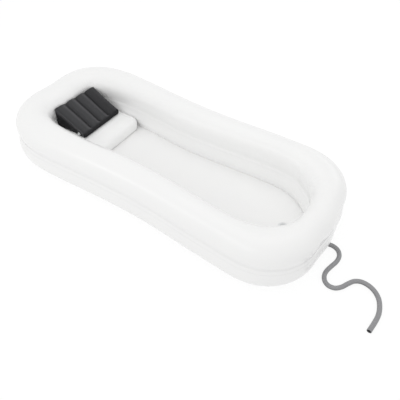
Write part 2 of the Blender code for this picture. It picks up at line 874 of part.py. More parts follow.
def tube(name, points, radius, sides, group, paint=None):
    """Round tube along a line of points, as a curve made into a welded mesh."""
    curve = bpy.data.curves.new(name, "CURVE")
    curve.dimensions = "3D"
    curve.bevel_depth = radius
    curve.bevel_resolution = sides // 2 - 2
    curve.use_fill_caps = True
    line = curve.splines.new("POLY")
    line.points.add(len(points) - 1)
    for point, spot in zip(line.points, points):
        point.co = (*spot, 1)
    guide = bpy.data.objects.new(name + "_line", curve)
    CUTTERS.objects.link(guide)
    bpy.context.view_layer.update()
    mesh = bpy.data.meshes.new_from_object(guide.evaluated_get(bpy.context.evaluated_depsgraph_get()))
    bm = bmesh.new()
    bm.from_mesh(mesh)
    bmesh.ops.remove_doubles(bm, verts=bm.verts, dist=MERGE_DISTANCE)
    bmesh.ops.recalc_face_normals(bm, faces=bm.faces)
    bm.to_mesh(mesh)
    bm.free()
    bpy.data.objects.remove(guide, do_unlink=True)
    mesh.name = name
    return add_object(name, mesh, group, paint)


def drain_hose():
    """Hose from the spigot under the foot ring and over the ground, open from end to end."""
    heading = hose_heading()
    start = Vector((DRAIN_X, DRAIN_Y)) + heading * (DRAIN_CUP_RADIUS + TOUCH_GAP)
    route = catmull_rom([tuple(start)] + list(HOSE_ROUTE), ROUTE_STEPS)
    height = HOSE_DIAMETER / 2
    points = [Vector((x, y, height)) for x, y in evenly_spaced(route, HOSE_POINTS)]
    hose = tube("drain_hose", points, HOSE_DIAMETER / 2, HOSE_OUTER_SIDES, PARTS, GREY)
    first = (points[0] - points[1]).normalized() * CUT_OVERRUN
    last = (points[-1] - points[-2]).normalized() * CUT_OVERRUN
    longer = [points[0] + first] + points[1:-1] + [points[-1] + last]
    bore_radius = HOSE_DIAMETER / 2 - HOSE_WALL
    bore = tube("drain_hose_bore", longer, bore_radius, HOSE_BORE_SIDES, CUTTERS)
    boolean(hose, bore)
    length = sum((b - a).length for a, b in zip(points, points[1:]))
    print("drain hose length", round(length, 3), "m")
    return hose


def hose_tunnel(name, margin):
    """Round-topped channel that lets the hose through under the foot end."""
    radius = HOSE_DIAMETER / 2 + HOSE_TUNNEL_CLEARANCE + margin
    centre = HOSE_DIAMETER / 2
    outline = [(-radius, -CUT_OVERRUN)]
    for i in range(2 * EDGE_STEPS + 1):
        angle = math.pi * (1 - i / (2 * EDGE_STEPS))
        outline.append((radius * math.cos(angle), centre + radius * math.sin(angle)))
    outline.append((radius, -CUT_OVERRUN))
    start = DRAIN_CUP_RADIUS + SPIGOT_LENGTH
    end = RINGS_LENGTH / 2 - DRAIN_X + HOSE_TUNNEL_MARGIN
    loops = [[(along, across, up) for across, up in outline] for along in (start, end)]
    tunnel = stacked_loops(name, loops, CUTTERS, None)
    place((tunnel,), hose_frame())
    return tunnel


def build():
    plan = plan_line()
    lower_height, upper_height, seam = ring_heights()
    upper_section = ring_section(upper_height, UPPER_TUBE_WIDTH, UPPER_RING_ROUND_HEIGHT, 1)
    lower_section = ring_section(lower_height, LOWER_TUBE_WIDTH, LOWER_RING_ROUND_HEIGHT, -1)
    lower_section = with_weld_line(lower_section)
    upper, upper_air = air_ring("upper_air_ring", upper_section, plan)
    lower, lower_air = air_ring("lower_air_ring", lower_section, plan)
    tunnel = hose_tunnel("hose_tunnel", 0)
    boolean(lower, tunnel)
    boolean(lower_air, hose_tunnel("hose_tunnel_film", RING_FILM))
    for ring, air, tube_width, height, name in (
        (upper, upper_air, UPPER_TUBE_WIDTH, upper_height, "upper_ring_valve"),
        (lower, lower_air, LOWER_TUBE_WIDTH, lower_height, "lower_ring_valve"),
    ):
        boolean(ring, air)
        frame = wall_frame(plan, tube_width, RING_VALVE_X, height)
        air_valve(name, CHAMBER_VALVE, frame)
        valve_hole(name, CHAMBER_VALVE, frame, ring)
    floor = floor_sheet(plan, lower_section)
    boolean(floor, tunnel)
    low = FLOOR_LEVEL - CUT_OVERRUN
    hole = rod("drain_hole", DRAIN_CUP_RADIUS + TOUCH_GAP, low, FLOOR_LEVEL + CUT_OVERRUN)
    place((hole,), hose_frame())
    boolean(floor, hole)
    headrest(plan)
    wedge_pillow(plan, (lower_section, upper_section))
    drain_body()
    drain_nut()
    drain_plug()
    drain_hose()


clear_scene()
PARTS = collection("inflatable_bath")
CUTTERS = collection("cutters")
VINYL = material("white_vinyl", VINYL_WHITE, 0.35)
VALVE = material("valve_plastic", VALVE_WHITE, 0.45)
CHARCOAL = material("charcoal_vinyl", PILLOW_CHARCOAL, 0.55)
GREY = material("grey_hose", HOSE_GREY, 0.5)
RUBBER = material("plug_rubber", PLUG_BLACK, 0.6)
build()
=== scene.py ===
# %% [markdown]
# # An inflatable bath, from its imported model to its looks
#
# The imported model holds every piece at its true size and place. This lesson keeps that
# frame and gives each piece the surface that the eye sees: taut white film on the two air
# rings and the headrest, a charcoal pillow with four swelling channels, moulded valves, a
# drain with its plug, and a grey hose that lies on the ground.

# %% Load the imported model
import math

import bmesh
import bpy
import numpy as np
from mathutils import Matrix, Vector


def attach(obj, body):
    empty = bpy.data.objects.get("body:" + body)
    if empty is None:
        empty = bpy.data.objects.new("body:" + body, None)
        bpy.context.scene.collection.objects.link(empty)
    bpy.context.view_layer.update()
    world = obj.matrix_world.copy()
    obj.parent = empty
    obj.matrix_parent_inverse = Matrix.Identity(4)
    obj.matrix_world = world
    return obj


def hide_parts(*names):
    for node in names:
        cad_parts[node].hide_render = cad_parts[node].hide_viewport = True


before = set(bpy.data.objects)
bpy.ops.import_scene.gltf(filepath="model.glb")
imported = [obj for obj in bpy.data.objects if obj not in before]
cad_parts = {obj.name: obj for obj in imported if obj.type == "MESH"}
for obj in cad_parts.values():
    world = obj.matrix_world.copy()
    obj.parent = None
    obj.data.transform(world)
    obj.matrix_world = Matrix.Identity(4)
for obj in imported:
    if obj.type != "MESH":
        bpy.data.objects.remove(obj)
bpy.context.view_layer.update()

# %% [markdown]
# ## The camera
#
# The picture was taken from above the foot end, on the near side. An azimuth, an
# elevation and a distance from one aimed point say that in words a photographer uses,
# and a small roll about the line of sight finishes it. The lens is short for its frame,
# so the foot looks large and the head end small.

# %% Camera
AIM = Vector((0.33867, -0.18292, 0.15))
AZIMUTH = math.radians(33.2869)
ELEVATION = math.radians(48.0993)
DISTANCE = 2.4102
ROLL = math.radians(0.97987)
LENS_MM = 38.697
SENSOR_MM = 36.0


def camera_axes():
    """Right, up and back of the camera: back points from the aim to the lens."""
    level = math.cos(ELEVATION)
    back = Vector((math.sin(AZIMUTH) * level, -math.cos(AZIMUTH) * level, math.sin(ELEVATION)))
    right = (-back).cross(Vector((0, 0, 1))).normalized()
    up = right.cross(-back)
    turned_right = right * math.cos(ROLL) + up * math.sin(ROLL)
    turned_up = up * math.cos(ROLL) - right * math.sin(ROLL)
    return turned_right, turned_up, back


def add_camera():
    """A camera at aim + distance * back, whose own axes are right, up and back."""
    right, up, back = camera_axes()
    lens = bpy.data.cameras.new("camera")
    lens.lens = LENS_MM
    lens.sensor_width = SENSOR_MM
    lens.clip_start = 0.05
    holder = bpy.data.objects.new("camera", lens)
    bpy.context.scene.collection.objects.link(holder)
    turn = Matrix((right, up, back)).transposed().to_4x4()
    holder.matrix_world = Matrix.Translation(AIM + back * DISTANCE) @ turn
    bpy.context.scene.camera = holder
    return holder


camera = add_camera()
print("camera at", [round(v, 3) for v in camera.matrix_world.translation])

# %% [markdown]
# ## Surfaces from grids of numbers
#
# Nearly every new piece here is a grid: rows run one way round the shape and columns the
# other. numpy works out all the points at once, and Blender gets them in one call. A grid
# can close on itself in either direction, as a tube does in one and a ring in both.

# %% Grid helpers
WELD = 0.00002


def object_from(name, mesh):
    """An object for a mesh, at the origin, in the scene."""
    made = bpy.data.objects.new(name, mesh)
    bpy.context.scene.collection.objects.link(made)
    return made


def grid_faces(rows, columns, close_rows, close_columns):
    """Fours between neighbours of a grid, as an array of four indices each."""
    row = np.arange(rows if close_rows else rows - 1)
    column = np.arange(columns if close_columns else columns - 1)
    r, c = np.meshgrid(row, column, indexing="ij")
    r2 = (r + 1) % rows
    c2 = (c + 1) % columns
    corners = (r * columns + c, r2 * columns + c, r2 * columns + c2, r * columns + c2)
    return np.stack(corners, axis=-1).reshape(-1, 4)


def mesh_of(name, points, faces):
    """A smooth mesh from an (n, 3) array of points and an (m, 4) array of fours."""
    mesh = bpy.data.meshes.new(name)
    mesh.vertices.add(len(points))
    mesh.vertices.foreach_set("co", np.ascontiguousarray(points, dtype=np.float32).ravel())
    mesh.loops.add(faces.size)
    mesh.loops.foreach_set("vertex_index", faces.astype(np.int32).ravel())
    mesh.polygons.add(len(faces))
    mesh.polygons.foreach_set("loop_start", np.arange(0, faces.size, 4, dtype=np.int32))
    mesh.update(calc_edges=True)
    mesh.shade_smooth()
    return mesh


def welded(mesh):
    """Joins points that coincide, as at poles and folded ends, and turns the faces out."""
    bm = bmesh.new()
    bm.from_mesh(mesh)
    bmesh.ops.remove_doubles(bm, verts=bm.verts, dist=WELD)
    bmesh.ops.dissolve_degenerate(bm, edges=bm.edges, dist=WELD / 2)
    bmesh.ops.recalc_face_normals(bm, faces=bm.faces)
    bm.to_mesh(mesh)
    bm.free()
    mesh.shade_smooth()
    return mesh


def grid_piece(name, points, close_rows=False, close_columns=True):
    """A piece from a (rows, columns, 3) grid of points."""
    rows, columns = points.shape[:2]
    faces = grid_faces(rows, columns, close_rows, close_columns)
    return object_from(name, welded(mesh_of(name, points.reshape(-1, 3), faces)))


def smoothstep(low, high, value):
    """0 below low, 1 above high, and an S-shaped rise between: 3t^2 - 2t^3."""
    t = np.clip((value - low) / (high - low), 0, 1)
    return t * t * (3 - 2 * t)


print("a 4 x 8 grid closed both ways has", len(grid_faces(4, 8, True, True)), "faces")

# %% [markdown]
# A piece is finished when it has its material, rides on the body that carries it and
# hides the imported nodes that it stands for. One function does all of that for every piece,
# because a step that is written once can't be forgotten.

# %% Finishing a piece


def finish_piece(piece, body, material, nodes=()):
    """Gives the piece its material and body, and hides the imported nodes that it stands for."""
    piece.data.materials.clear()
    piece.data.materials.append(material)
    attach(piece, body)
    if nodes:
        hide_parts(*nodes)
    print(piece.name, "has", len(piece.data.polygons), "faces and rides on", body)
    return piece


# %% [markdown]
# ## Materials
#
# The film of the bath is calendered polyvinyl chloride: rolled out between hot cylinders,
# so it has a faint satin grain and a soft highlight, and no pattern. Colours are written
# as the hex values that a colour picker shows, and one function turns them into the
# linear numbers that a shader works with. Bumps get their scale from real millimetres.

# %% Colour and node helpers
MM = 0.001


def linear(hex_colour):
    """sRGB hex to linear: c/12.92 below 0.04045, else ((c + 0.055)/1.055)^2.4."""
    values = np.array([int(hex_colour[i:i + 2], 16) for i in (1, 3, 5)]) / 255
    low = values / 12.92
    high = ((values + 0.055) / 1.055) ** 2.4
    return (*np.where(values <= 0.04045, low, high), 1.0)


def add_node(tree, kind, settings=None, **inputs):
    """A node of the kind, with settings by attribute and inputs by value or by link.

    An input's keyword is its socket's name with _ for a space, or its number after n.
    """
    node = tree.nodes.new(kind)
    for name, value in (settings or {}).items():
        setattr(node, name, value)
    for key, value in inputs.items():
        numbered = key[0] == "n" and key[1:].isdigit()
        socket = node.inputs[int(key[1:])] if numbered else node.inputs[key.replace("_", " ")]
        if isinstance(value, bpy.types.NodeSocket):
            tree.links.new(value, socket)
        else:
            socket.default_value = value
    return node


def new_material(name):
    """An empty material and its tree."""
    made = bpy.data.materials.new(name)
    made.use_nodes = True
    made.node_tree.nodes.clear()
    return made, made.node_tree


def surface_from(tree, shader):
    """The output node, fed by a shader."""
    add_node(tree, "ShaderNodeOutputMaterial", Surface=shader.outputs[0])


print("#808080 in linear light:", [round(float(v), 4) for v in linear("#808080")[:3]])

# %% [markdown]
# One recipe serves every plastic and rubber here. A broad noise shifts the colour by a
# few parts in a hundred, as handling and uneven pigment do. A fine noise, as wide as the
# surface's real grain, drives roughness and a shallow bump. An image of a surface would
# repeat on a bath two metres long, and noise never does.

# %% Moulded and calendered plastics
GRAIN_RANGE = (0.3, 0.7)
GLOSS_SPREAD = 0.05
BUMP_STRENGTH = 0.6


def plastic(name, colours, roughness, grain_mm, bump_mm, mottle_mm, ior=1.5, painted_sheen_colour=None):
    """Satin plastic: two near colours in a broad mottle, grain in roughness and bump.

    Where a mesh attribute asks for it, the colour goes over to a paler one: a painted sheen.
    """
    made, tree = new_material(name)
    place = add_node(tree, "ShaderNodeTexCoord").outputs["Object"]
    mottle = add_node(
        tree, "ShaderNodeTexNoise", Vector=place, Scale=1 / (mottle_mm * MM), Detail=2.0, Roughness=0.5
    )
    grain = add_node(
        tree, "ShaderNodeTexNoise", Vector=place, Scale=1 / (grain_mm * MM), Detail=3.0, Roughness=0.6
    )
    colour = add_node(
        tree,
        "ShaderNodeMix",
        {"data_type": "RGBA"},
        n0=mottle.outputs[0],
        n6=linear(colours[0]),
        n7=linear(colours[1]),
    )
    paint = colour.outputs[2]
    # Painted sheen: a mesh attribute takes the colour over to a paler one where light would catch the
    # film.
    if painted_sheen_colour:
        sheen_mask = add_node(tree, "ShaderNodeAttribute", {"attribute_name": "painted_sheen"})
        sheened = add_node(
            tree,
            "ShaderNodeMix",
            {"data_type": "RGBA"},
            n0=sheen_mask.outputs["Fac"],
            n6=paint,
            n7=linear(painted_sheen_colour),
        )
        paint = sheened.outputs[2]
    gloss = add_node(
        tree,
        "ShaderNodeMapRange",
        n0=grain.outputs[0],
        n1=GRAIN_RANGE[0],
        n2=GRAIN_RANGE[1],
        n3=roughness - GLOSS_SPREAD,
        n4=roughness + GLOSS_SPREAD,
    )
    bump = add_node(
        tree,
        "ShaderNodeBump",
        Height=grain.outputs[0],
        Distance=bump_mm * MM,
        Strength=BUMP_STRENGTH,
    )
    shader = add_node(
        tree,
        "ShaderNodeBsdfPrincipled",
        Base_Color=paint,
        Roughness=gloss.outputs[0],
        Normal=bump.outputs[0],
        IOR=ior,
    )
    surface_from(tree, shader)
    return made

# %% [markdown]
# Five finishes cover all but the hose. Typical values come first: soft PVC and rubber have an
# index of refraction near 1.5 and a roughness between satin, 0.25, and dull, 0.6. They
# are then matched to the real surfaces.

# %% The bath's plastics and rubber
# Calendered PVC film, white: satin, so lamps draw one broad soft streak on a tube
film_white = plastic("satin_pvc_film_white", ("#FDFDFC", "#FBFBFB"), 0.26, 1.4, 0.05, 160)
# The same film where it is pulled flat as a floor, rubbed a little duller by use
film_floor = plastic("satin_pvc_film_floor", ("#FEFEFD", "#FCFCFC"), 0.42, 1.4, 0.05, 240)
# Flexible PVC film dyed charcoal and finely embossed, so it is matt; a painted sheen makes it
# paler on the channels' backs and seams, less in the welds and not on the sides or front lip
film_charcoal = plastic(
    "embossed_pvc_film_charcoal",
    ("#18181A", "#1E1E20"),
    0.62,
    1.1,
    0.10,
    60,
    ior=1.33,
    painted_sheen_colour="#505052",
)
# Injection-moulded soft PVC, milky white, from a spark-eroded mould
moulded_white = plastic("moulded_soft_pvc_white", ("#EDEEEE", "#E6E8E9"), 0.42, 0.6, 0.03, 30)
# Moulded rubber filled with chalk: pale grey and dull, with a slight bloom
moulded_rubber = plastic("moulded_grey_rubber", ("#D4D5D6", "#DBDCDD"), 0.58, 0.5, 0.03, 12)
finishes = (film_white, film_floor, film_charcoal, moulded_white, moulded_rubber)
print("finishes:", [m.name for m in finishes])

# %% [markdown]
# ## The hose
#
# The drain hose comes out of the drain under the floor, passes below the foot of the
# lower ring and lies loose on the ground, and its end is cut square and open. Its middle
# line is a list of places on the ground. A rope simulation would lay it anywhere it likes,
# so a smooth curve through the places is used, and it keeps the hose's own bends.

# %% Hose route
DRAIN_X = 0.7826
DRAIN_Y = 0.002
DRAIN_CUP_RADIUS = 0.0205
GAP = 0.0003
HOSE_RADIUS = 0.0125
HOSE_WALL = 0.0030
HOSE_RIM_ROUND = 0.0005
HOSE_POINTS = 241
ROUTE_STEPS = 24
HOSE_ROUTE = (
    (0.925, 0.029),
    (1.038, 0.051),
    (1.072, 0.054),
    (1.103, 0.041),
    (1.122, 0.009),
    (1.123, -0.032),
    (1.111, -0.078),
    (1.102, -0.118),
    (1.104, -0.152),
    (1.120, -0.181),
    (1.147, -0.195),
    (1.179, -0.189),
    (1.205, -0.163),
    (1.225, -0.126),
    (1.246, -0.095),
    (1.279, -0.077),
    (1.319, -0.078),
    (1.355, -0.094),
    (1.384, -0.123),
    (1.402, -0.161),
    (1.412, -0.205),
    (1.411, -0.254),
    (1.403, -0.319),
)


def through_points(points, steps):
    """Uniform Catmull-Rom curve.

    Between b and c it is (2b + (c-a)t + (2a-5b+4c-d)t^2 + (3b-a-3c+d)t^3) / 2, t from 0 to 1.
    """
    p = np.asarray(points, dtype=float)
    padded = np.vstack([p[:1], p, p[-1:]])
    a, b, c, d = padded[:-3], padded[1:-2], padded[2:-1], padded[3:]
    t = (np.arange(steps) / steps)[None, :, None]
    a, b, c, d = (q[:, None, :] for q in (a, b, c, d))
    cubic = (3 * b - a - 3 * c + d) * t**3
    curve = (2 * b + (c - a) * t + (2 * a - 5 * b + 4 * c - d) * t**2 + cubic) / 2
    return np.vstack([curve.reshape(-1, p.shape[1]), p[-1:]])


def evenly(points, count):
    """The same line with points at equal distances along it."""
    reach = np.concatenate([[0], np.cumsum(np.linalg.norm(np.diff(points, axis=0), axis=1))])
    wanted = np.linspace(0, reach[-1], count)
    columns = [np.interp(wanted, reach, column) for column in points.T]
    return np.stack(columns, axis=1)


def hose_line(count):
    """The hose's middle line, from the drain's cup to the cut end, one radius up."""
    drain = np.array([DRAIN_X, DRAIN_Y])
    heading = np.array(HOSE_ROUTE[1]) - drain
    heading /= np.linalg.norm(heading)
    start = drain + heading * (DRAIN_CUP_RADIUS + GAP)
    flat = evenly(through_points([tuple(start), *HOSE_ROUTE], ROUTE_STEPS), count)
    return np.column_stack([flat, np.full(count, HOSE_RADIUS)])


hose_path = hose_line(HOSE_POINTS)

# %% [markdown]
# A tube is a circle carried along a line. A curve with a round bevel would do that in one
# step, but as a solid rod with no bore. Here the circle goes out along the outside, turns
# over the cut end's rim and comes back along the bore, so the wall has its real thickness.

# %% Hose surface
HOSE_SIDES = 40


def tube_along(path, stations, sides):
    """Rings of points round a level line.

    stations lists (index of the path's point, push along the path, radius); a ring is
    centre + radius * (cos a * sideways + sin a * up).
    """
    ahead = np.gradient(path, axis=0)
    ahead /= np.linalg.norm(ahead, axis=1)[:, None]
    up = np.array([0.0, 0.0, 1.0])
    sideways = np.cross(ahead, up)
    index = np.array([s[0] for s in stations])
    push = np.array([s[1] for s in stations])[:, None]
    radius = np.array([s[2] for s in stations])[:, None, None]
    angle = np.linspace(0, 2 * np.pi, sides, endpoint=False)[None, :, None]
    centre = (path[index] + ahead[index] * push)[:, None, :]
    return centre + radius * (np.cos(angle) * sideways[index][:, None, :] + np.sin(angle) * up)


def hose_stations(count):
    """Out along the outside, over the rounded rim, and back along the bore."""
    bore = HOSE_RADIUS - HOSE_WALL
    last = count - 1
    rim = HOSE_RIM_ROUND
    stations = [(i, 0, HOSE_RADIUS) for i in range(last)]
    for turn in (0, 30, 60, 90):
        a = math.radians(turn)
        stations.append((last, rim * (math.sin(a) - 1), HOSE_RADIUS - rim * (1 - math.cos(a))))
    for turn in (90, 60, 30, 0):
        a = math.radians(turn)
        stations.append((last, rim * (math.sin(a) - 1), bore + rim * (1 - math.cos(a))))
    return stations + [(i, 0, bore) for i in range(last - 1, -1, -1)]


hose_grid = tube_along(hose_path, hose_stations(len(hose_path)), HOSE_SIDES)
print("hose surface:", hose_grid.shape[0], "rings of", hose_grid.shape[1], "points")

# %% [markdown]
# The hose is extruded soft PVC in mid grey. Its colour carries painted shade: it is painted
# paler on top and darker towards the ground, as light falls on a round tube. The colour goes
# from one to the other by the height above the ground, which the material reads from the
# object's own coordinates, so no image and no unwrapping is needed.

# %% Hose material
HOSE_MOTTLE_MM = 45
HOSE_GRAIN_MM = 1.5
HOSE_BUMP_MM = 0.04
HOSE_BUMP_STRENGTH = 0.5
PAINTED_SHADE_HEIGHTS = (0.005, 0.021)


def hose_material():
    """Grey PVC with painted shade: dark near the ground and pale on top, as light falls on a round
    tube.
    """
    made, tree = new_material("extruded_soft_pvc_grey")
    place = add_node(tree, "ShaderNodeTexCoord").outputs["Object"]
    broad = add_node(
        tree, "ShaderNodeTexNoise", Vector=place, Scale=1 / (HOSE_MOTTLE_MM * MM), Detail=2.0
    )
    fine = add_node(
        tree, "ShaderNodeTexNoise", Vector=place, Scale=1 / (HOSE_GRAIN_MM * MM), Detail=2.0
    )
    colour = add_node(
        tree,
        "ShaderNodeMix",
        {"data_type": "RGBA"},
        n0=broad.outputs[0],
        n6=linear("#8E8E90"),
        n7=linear("#9C9C9E"),
    )
    height = add_node(tree, "ShaderNodeSeparateXYZ", Vector=place).outputs[2]
    above = add_node(
        tree, "ShaderNodeMapRange", n0=height, n1=PAINTED_SHADE_HEIGHTS[0], n2=PAINTED_SHADE_HEIGHTS[1]
    )
    # Painted shade: the colour goes dark (#5A5A5C) near the ground and stays pale on top, as light and
    # shade fall on a round tube.
    shaded_by_height = add_node(
        tree,
        "ShaderNodeMix",
        {"data_type": "RGBA"},
        n0=above.outputs[0],
        n6=linear("#5A5A5C"),
        n7=colour.outputs[2],
    )
    bump = add_node(
        tree,
        "ShaderNodeBump",
        Height=fine.outputs[0],
        Distance=HOSE_BUMP_MM * MM,
        Strength=HOSE_BUMP_STRENGTH,
    )
    shader = add_node(
        tree,
        "ShaderNodeBsdfPrincipled",
        Base_Color=shaded_by_height.outputs[2],
        Roughness=0.36,
        IOR=1.5,
        Normal=bump.outputs[0],
    )
    surface_from(tree, shader)
    return made


hose_grey = hose_material()
hose = grid_piece("drain_hose_tube", hose_grid, close_rows=True)
finish_piece(hose, "tub", hose_grey, ["drain_hose"])

# %% [markdown]
# ## The plan of the rings
#
# Both rings follow one line, seen from above: long and a little waisted, squarer at the
# foot, with a tube that narrows across the foot and swells in the foot's corners. Film is
# stiff along its length, so the real line has no sudden change of curve. Arcs joined end
# to end would change it at every joint. A periodic cubic spline doesn't: its slope and its
# curvature both run on through every point.

# %% Plan line
RINGS_LENGTH = 2.128
RINGS_WIDTH = 0.939
UPPER_WIDTH = 0.198
LOWER_WIDTH = 0.222
# A tube's section really reaches this share of its named width
WALL_SHARE = math.cos(math.radians(9))
HEAD_END = -1.0612
PLAN_SHARES = (
    (0.987, 0.000, 0.851),
    (0.976, 0.280, 0.843),
    (0.953, 0.531, 0.993),
    (0.897, 0.751, 1.134),
    (0.801, 0.923, 1.125),
    (0.659, 0.984, 0.979),
    (0.447, 0.966, 0.945),
    (0.193, 0.919, 0.969),
    (-0.109, 0.900, 1.027),
    (-0.385, 0.946, 1.009),
    (-0.641, 0.972, 1.078),
    (-0.832, 0.914, 1.135),
    (-0.940, 0.753, 1.120),
    (-0.992, 0.525, 1.100),
    (-0.995, 0.000, 1.085),
)
PLAN_POINTS = 820


def periodic_spline(knots, count):
    """Closed curve through the knots with continuous curvature.

    With chord lengths h and second slopes m, every knot gives one equation:
    h[i-1] m[i-1] + 2 (h[i-1] + h[i]) m[i] + h[i] m[i+1] = 6 (slope[i] - slope[i-1]).
    """
    k = np.asarray(knots, dtype=float)
    n = len(k)
    ahead = np.roll(k, -1, axis=0) - k
    h = np.linalg.norm(ahead[:, :2], axis=1)
    slope = ahead / h[:, None]
    i = np.arange(n)
    system = np.zeros((n, n))
    system[i, i] = 2 * (np.roll(h, 1) + h)
    system[i, i - 1] += np.roll(h, 1)
    system[i, (i + 1) % n] += h
    m = np.linalg.solve(system, 6 * (slope - np.roll(slope, 1, axis=0)))
    reach = np.concatenate([[0], np.cumsum(h)])
    wanted = np.linspace(0, reach[-1], count, endpoint=False)
    seg = np.clip(np.searchsorted(reach, wanted, side="right") - 1, 0, n - 1)
    t = (wanted - reach[seg])[:, None]
    hs = h[seg][:, None]
    m0, m1 = m[seg], np.roll(m, -1, axis=0)[seg]
    k0, k1 = k[seg], np.roll(k, -1, axis=0)[seg]
    left = hs - t
    return (
        m0 * left**3 / (6 * hs)
        + m1 * t**3 / (6 * hs)
        + (k0 / hs - m0 * hs / 6) * left
        + (k1 / hs - m1 * hs / 6) * t
    )


def outward(line):
    """Unit normals that point out of an anticlockwise closed line."""
    along = np.roll(line, -1, axis=0) - np.roll(line, 1, axis=0)
    along /= np.linalg.norm(along, axis=1)[:, None]
    return np.stack([along[:, 1], -along[:, 0]], axis=1)


def plan_line(count):
    """Middle line, outward normals and width shares of the rings.

    A row of PLAN_SHARES is (x, y, width of the tube), as shares of half the line's length,
    of half its width and of the tube's width. The near side mirrors the far side, and the
    outside of the head end lies at HEAD_END.
    """
    half = np.array(PLAN_SHARES)
    knots = np.vstack([half, half[-2:0:-1] * [1, -1, 1]])
    ends = LOWER_WIDTH * (half[0, 2] + half[-1, 2]) / 2
    scale = np.array([(RINGS_LENGTH - ends) / 2, (RINGS_WIDTH - LOWER_WIDTH) / 2, 1.0])
    curve = periodic_spline(knots * scale, count)
    line, width = curve[:, :2], curve[:, 2]
    normals = outward(line)
    outside = (line + normals * (width * LOWER_WIDTH / 2 * WALL_SHARE)[:, None])[:, 0]
    line = line - [outside.min() - HEAD_END, 0]
    return line, normals, width


plan, plan_out, plan_width = plan_line(PLAN_POINTS)
print("plan line", np.round(plan.min(0), 3), np.round(plan.max(0), 3))

# %% [markdown]
# ## The air rings
#
# Air makes a tube of film as round as it can, and where two tubes press on each other
# both go flat. So each ring's section is an oval with one side pressed to a plane. Beside
# that plane the walls of both rings stand nearly upright, welded edge to edge, so only a
# shallow groove runs round the bath. Two tori would be quicker, but they would touch along
# a line only. A smooth maximum of the oval and the plane presses one flat and rounds the
# edge of the flat.

# %% Ring sizes and curve helpers
LOWER_CENTRE = 0.09087
UPPER_CENTRE = 0.22269
LOWER_ROUND = 0.184
UPPER_ROUND = 0.188
SEAM = 0.15592
EDGE_SOFTNESS = 0.0004
UPPER_GROOVE = 0.085
LOWER_GROOVE = 0.100
GROUND_SOFTNESS = 0.0006


def smooth_max(a, b, softness):
    """(a + b + sqrt((a - b)^2 + softness^2)) / 2: the larger one, with a rounded change."""
    return (a + b + np.sqrt((a - b) ** 2 + softness**2)) / 2


def curvature(line):
    """Turn per metre of a closed line, positive where it bends inwards."""
    first = (np.roll(line, -1, axis=0) - np.roll(line, 1, axis=0)) / 2
    second = np.roll(line, -1, axis=0) - 2 * line + np.roll(line, 1, axis=0)
    cross = first[:, 0] * second[:, 1] - first[:, 1] * second[:, 0]
    return cross / np.linalg.norm(first, axis=1) ** 3


def whole_waves(line, wave):
    """Phase along a closed line, 2 pi n s / length, with n whole and length / n near the wave."""
    reach = np.cumsum(np.linalg.norm(np.roll(line, -1, axis=0) - line, axis=1))
    s = np.concatenate([[0], reach[:-1]])
    return 2 * np.pi * round(reach[-1] / wave) * s / reach[-1]


print("tightest bend of the plan has a radius of", round(1 / curvature(plan).max(), 3), "m")

# %% [markdown]
# On the inside of a bend the film is longer than its way round, and it gathers in small
# puckers. A cloth simulation finds such folds by itself, at other places each time the
# mesh changes. Here they are a sine wave along the plan, faded in by the bend. The wave
# goes round a whole number of times, so it meets itself where the line closes.

# %% Puckers
PUCKER_WAVE = 0.036
PUCKER_DEPTH = 0.0008
PUCKER_BEND = (1.2, 4.5)
PUCKER_FREE = (0.08, 0.18)
DRIFT_WAVE = 0.31
DRIFT_ALONG = 1.7
DRIFT_ROUND = 0.8
FADE_WAVE = 0.127
FADE_SHARE = 0.35


def puckers(angle, seed):
    """Ripples across the inside of the bends, as a depth for each (plan, section) point.

    depth = size * bend * inside^3 * fade * sin(waves + drift), where bend goes from 0 to 1
    with the plan's curvature and inside is how far round to the inner wall the point lies.
    The middle of both ends is drawn nearly straight across and stays smooth.
    """
    bend = smoothstep(*PUCKER_BEND, curvature(plan)) * smoothstep(*PUCKER_FREE, np.abs(plan[:, 1]))
    inside = np.clip(-np.cos(angle), 0, 1)[None, :] ** 3
    drift = DRIFT_ALONG * np.sin(whole_waves(plan, DRIFT_WAVE) + seed)[:, None]
    drift = drift + DRIFT_ROUND * np.sin(angle * 2 + seed)[None, :]
    fade = 1 - FADE_SHARE + FADE_SHARE * np.sin(whole_waves(plan, FADE_WAVE) + 2 * seed)[:, None]
    wave = np.sin(whole_waves(plan, PUCKER_WAVE)[:, None] + drift)
    return PUCKER_DEPTH * bend[:, None] * inside * fade * wave


print("puckers are at most", round(PUCKER_DEPTH / MM, 2), "mm deep")

# %% [markdown]
# The section's points lie close together at its two turns to the flat, where it bends
# most. On the lower ring's inner side the floor sheet holds the film: the wall goes down
# straight from above the floor, and comes back to the oval below it.

# %% Ring sections
ROUND_STEPS = 46
WALL_STEPS = 14
FLAT_STEPS = 12
TURN_DEGREES = (2.0, 0.8, 0.25)
BELLY_TOP = 0.068
BELLY_LOW = 0.029
BELLY_END = 0.010


def section_angles(corner):
    """Angles round a section in degrees, close together at the two turns to the flat."""
    over = np.linspace(0, 180, ROUND_STEPS)
    turn = np.array(TURN_DEGREES)
    wall = np.linspace(0, corner - 2 * turn[0], WALL_STEPS)[1:]
    flat = np.linspace(corner, 90, FLAT_STEPS)[2:]
    left = np.concatenate([wall, corner - turn, [corner], corner + turn[::-1], flat])
    return np.concatenate([over, 180 + left, 360 - left[:-1][::-1]])


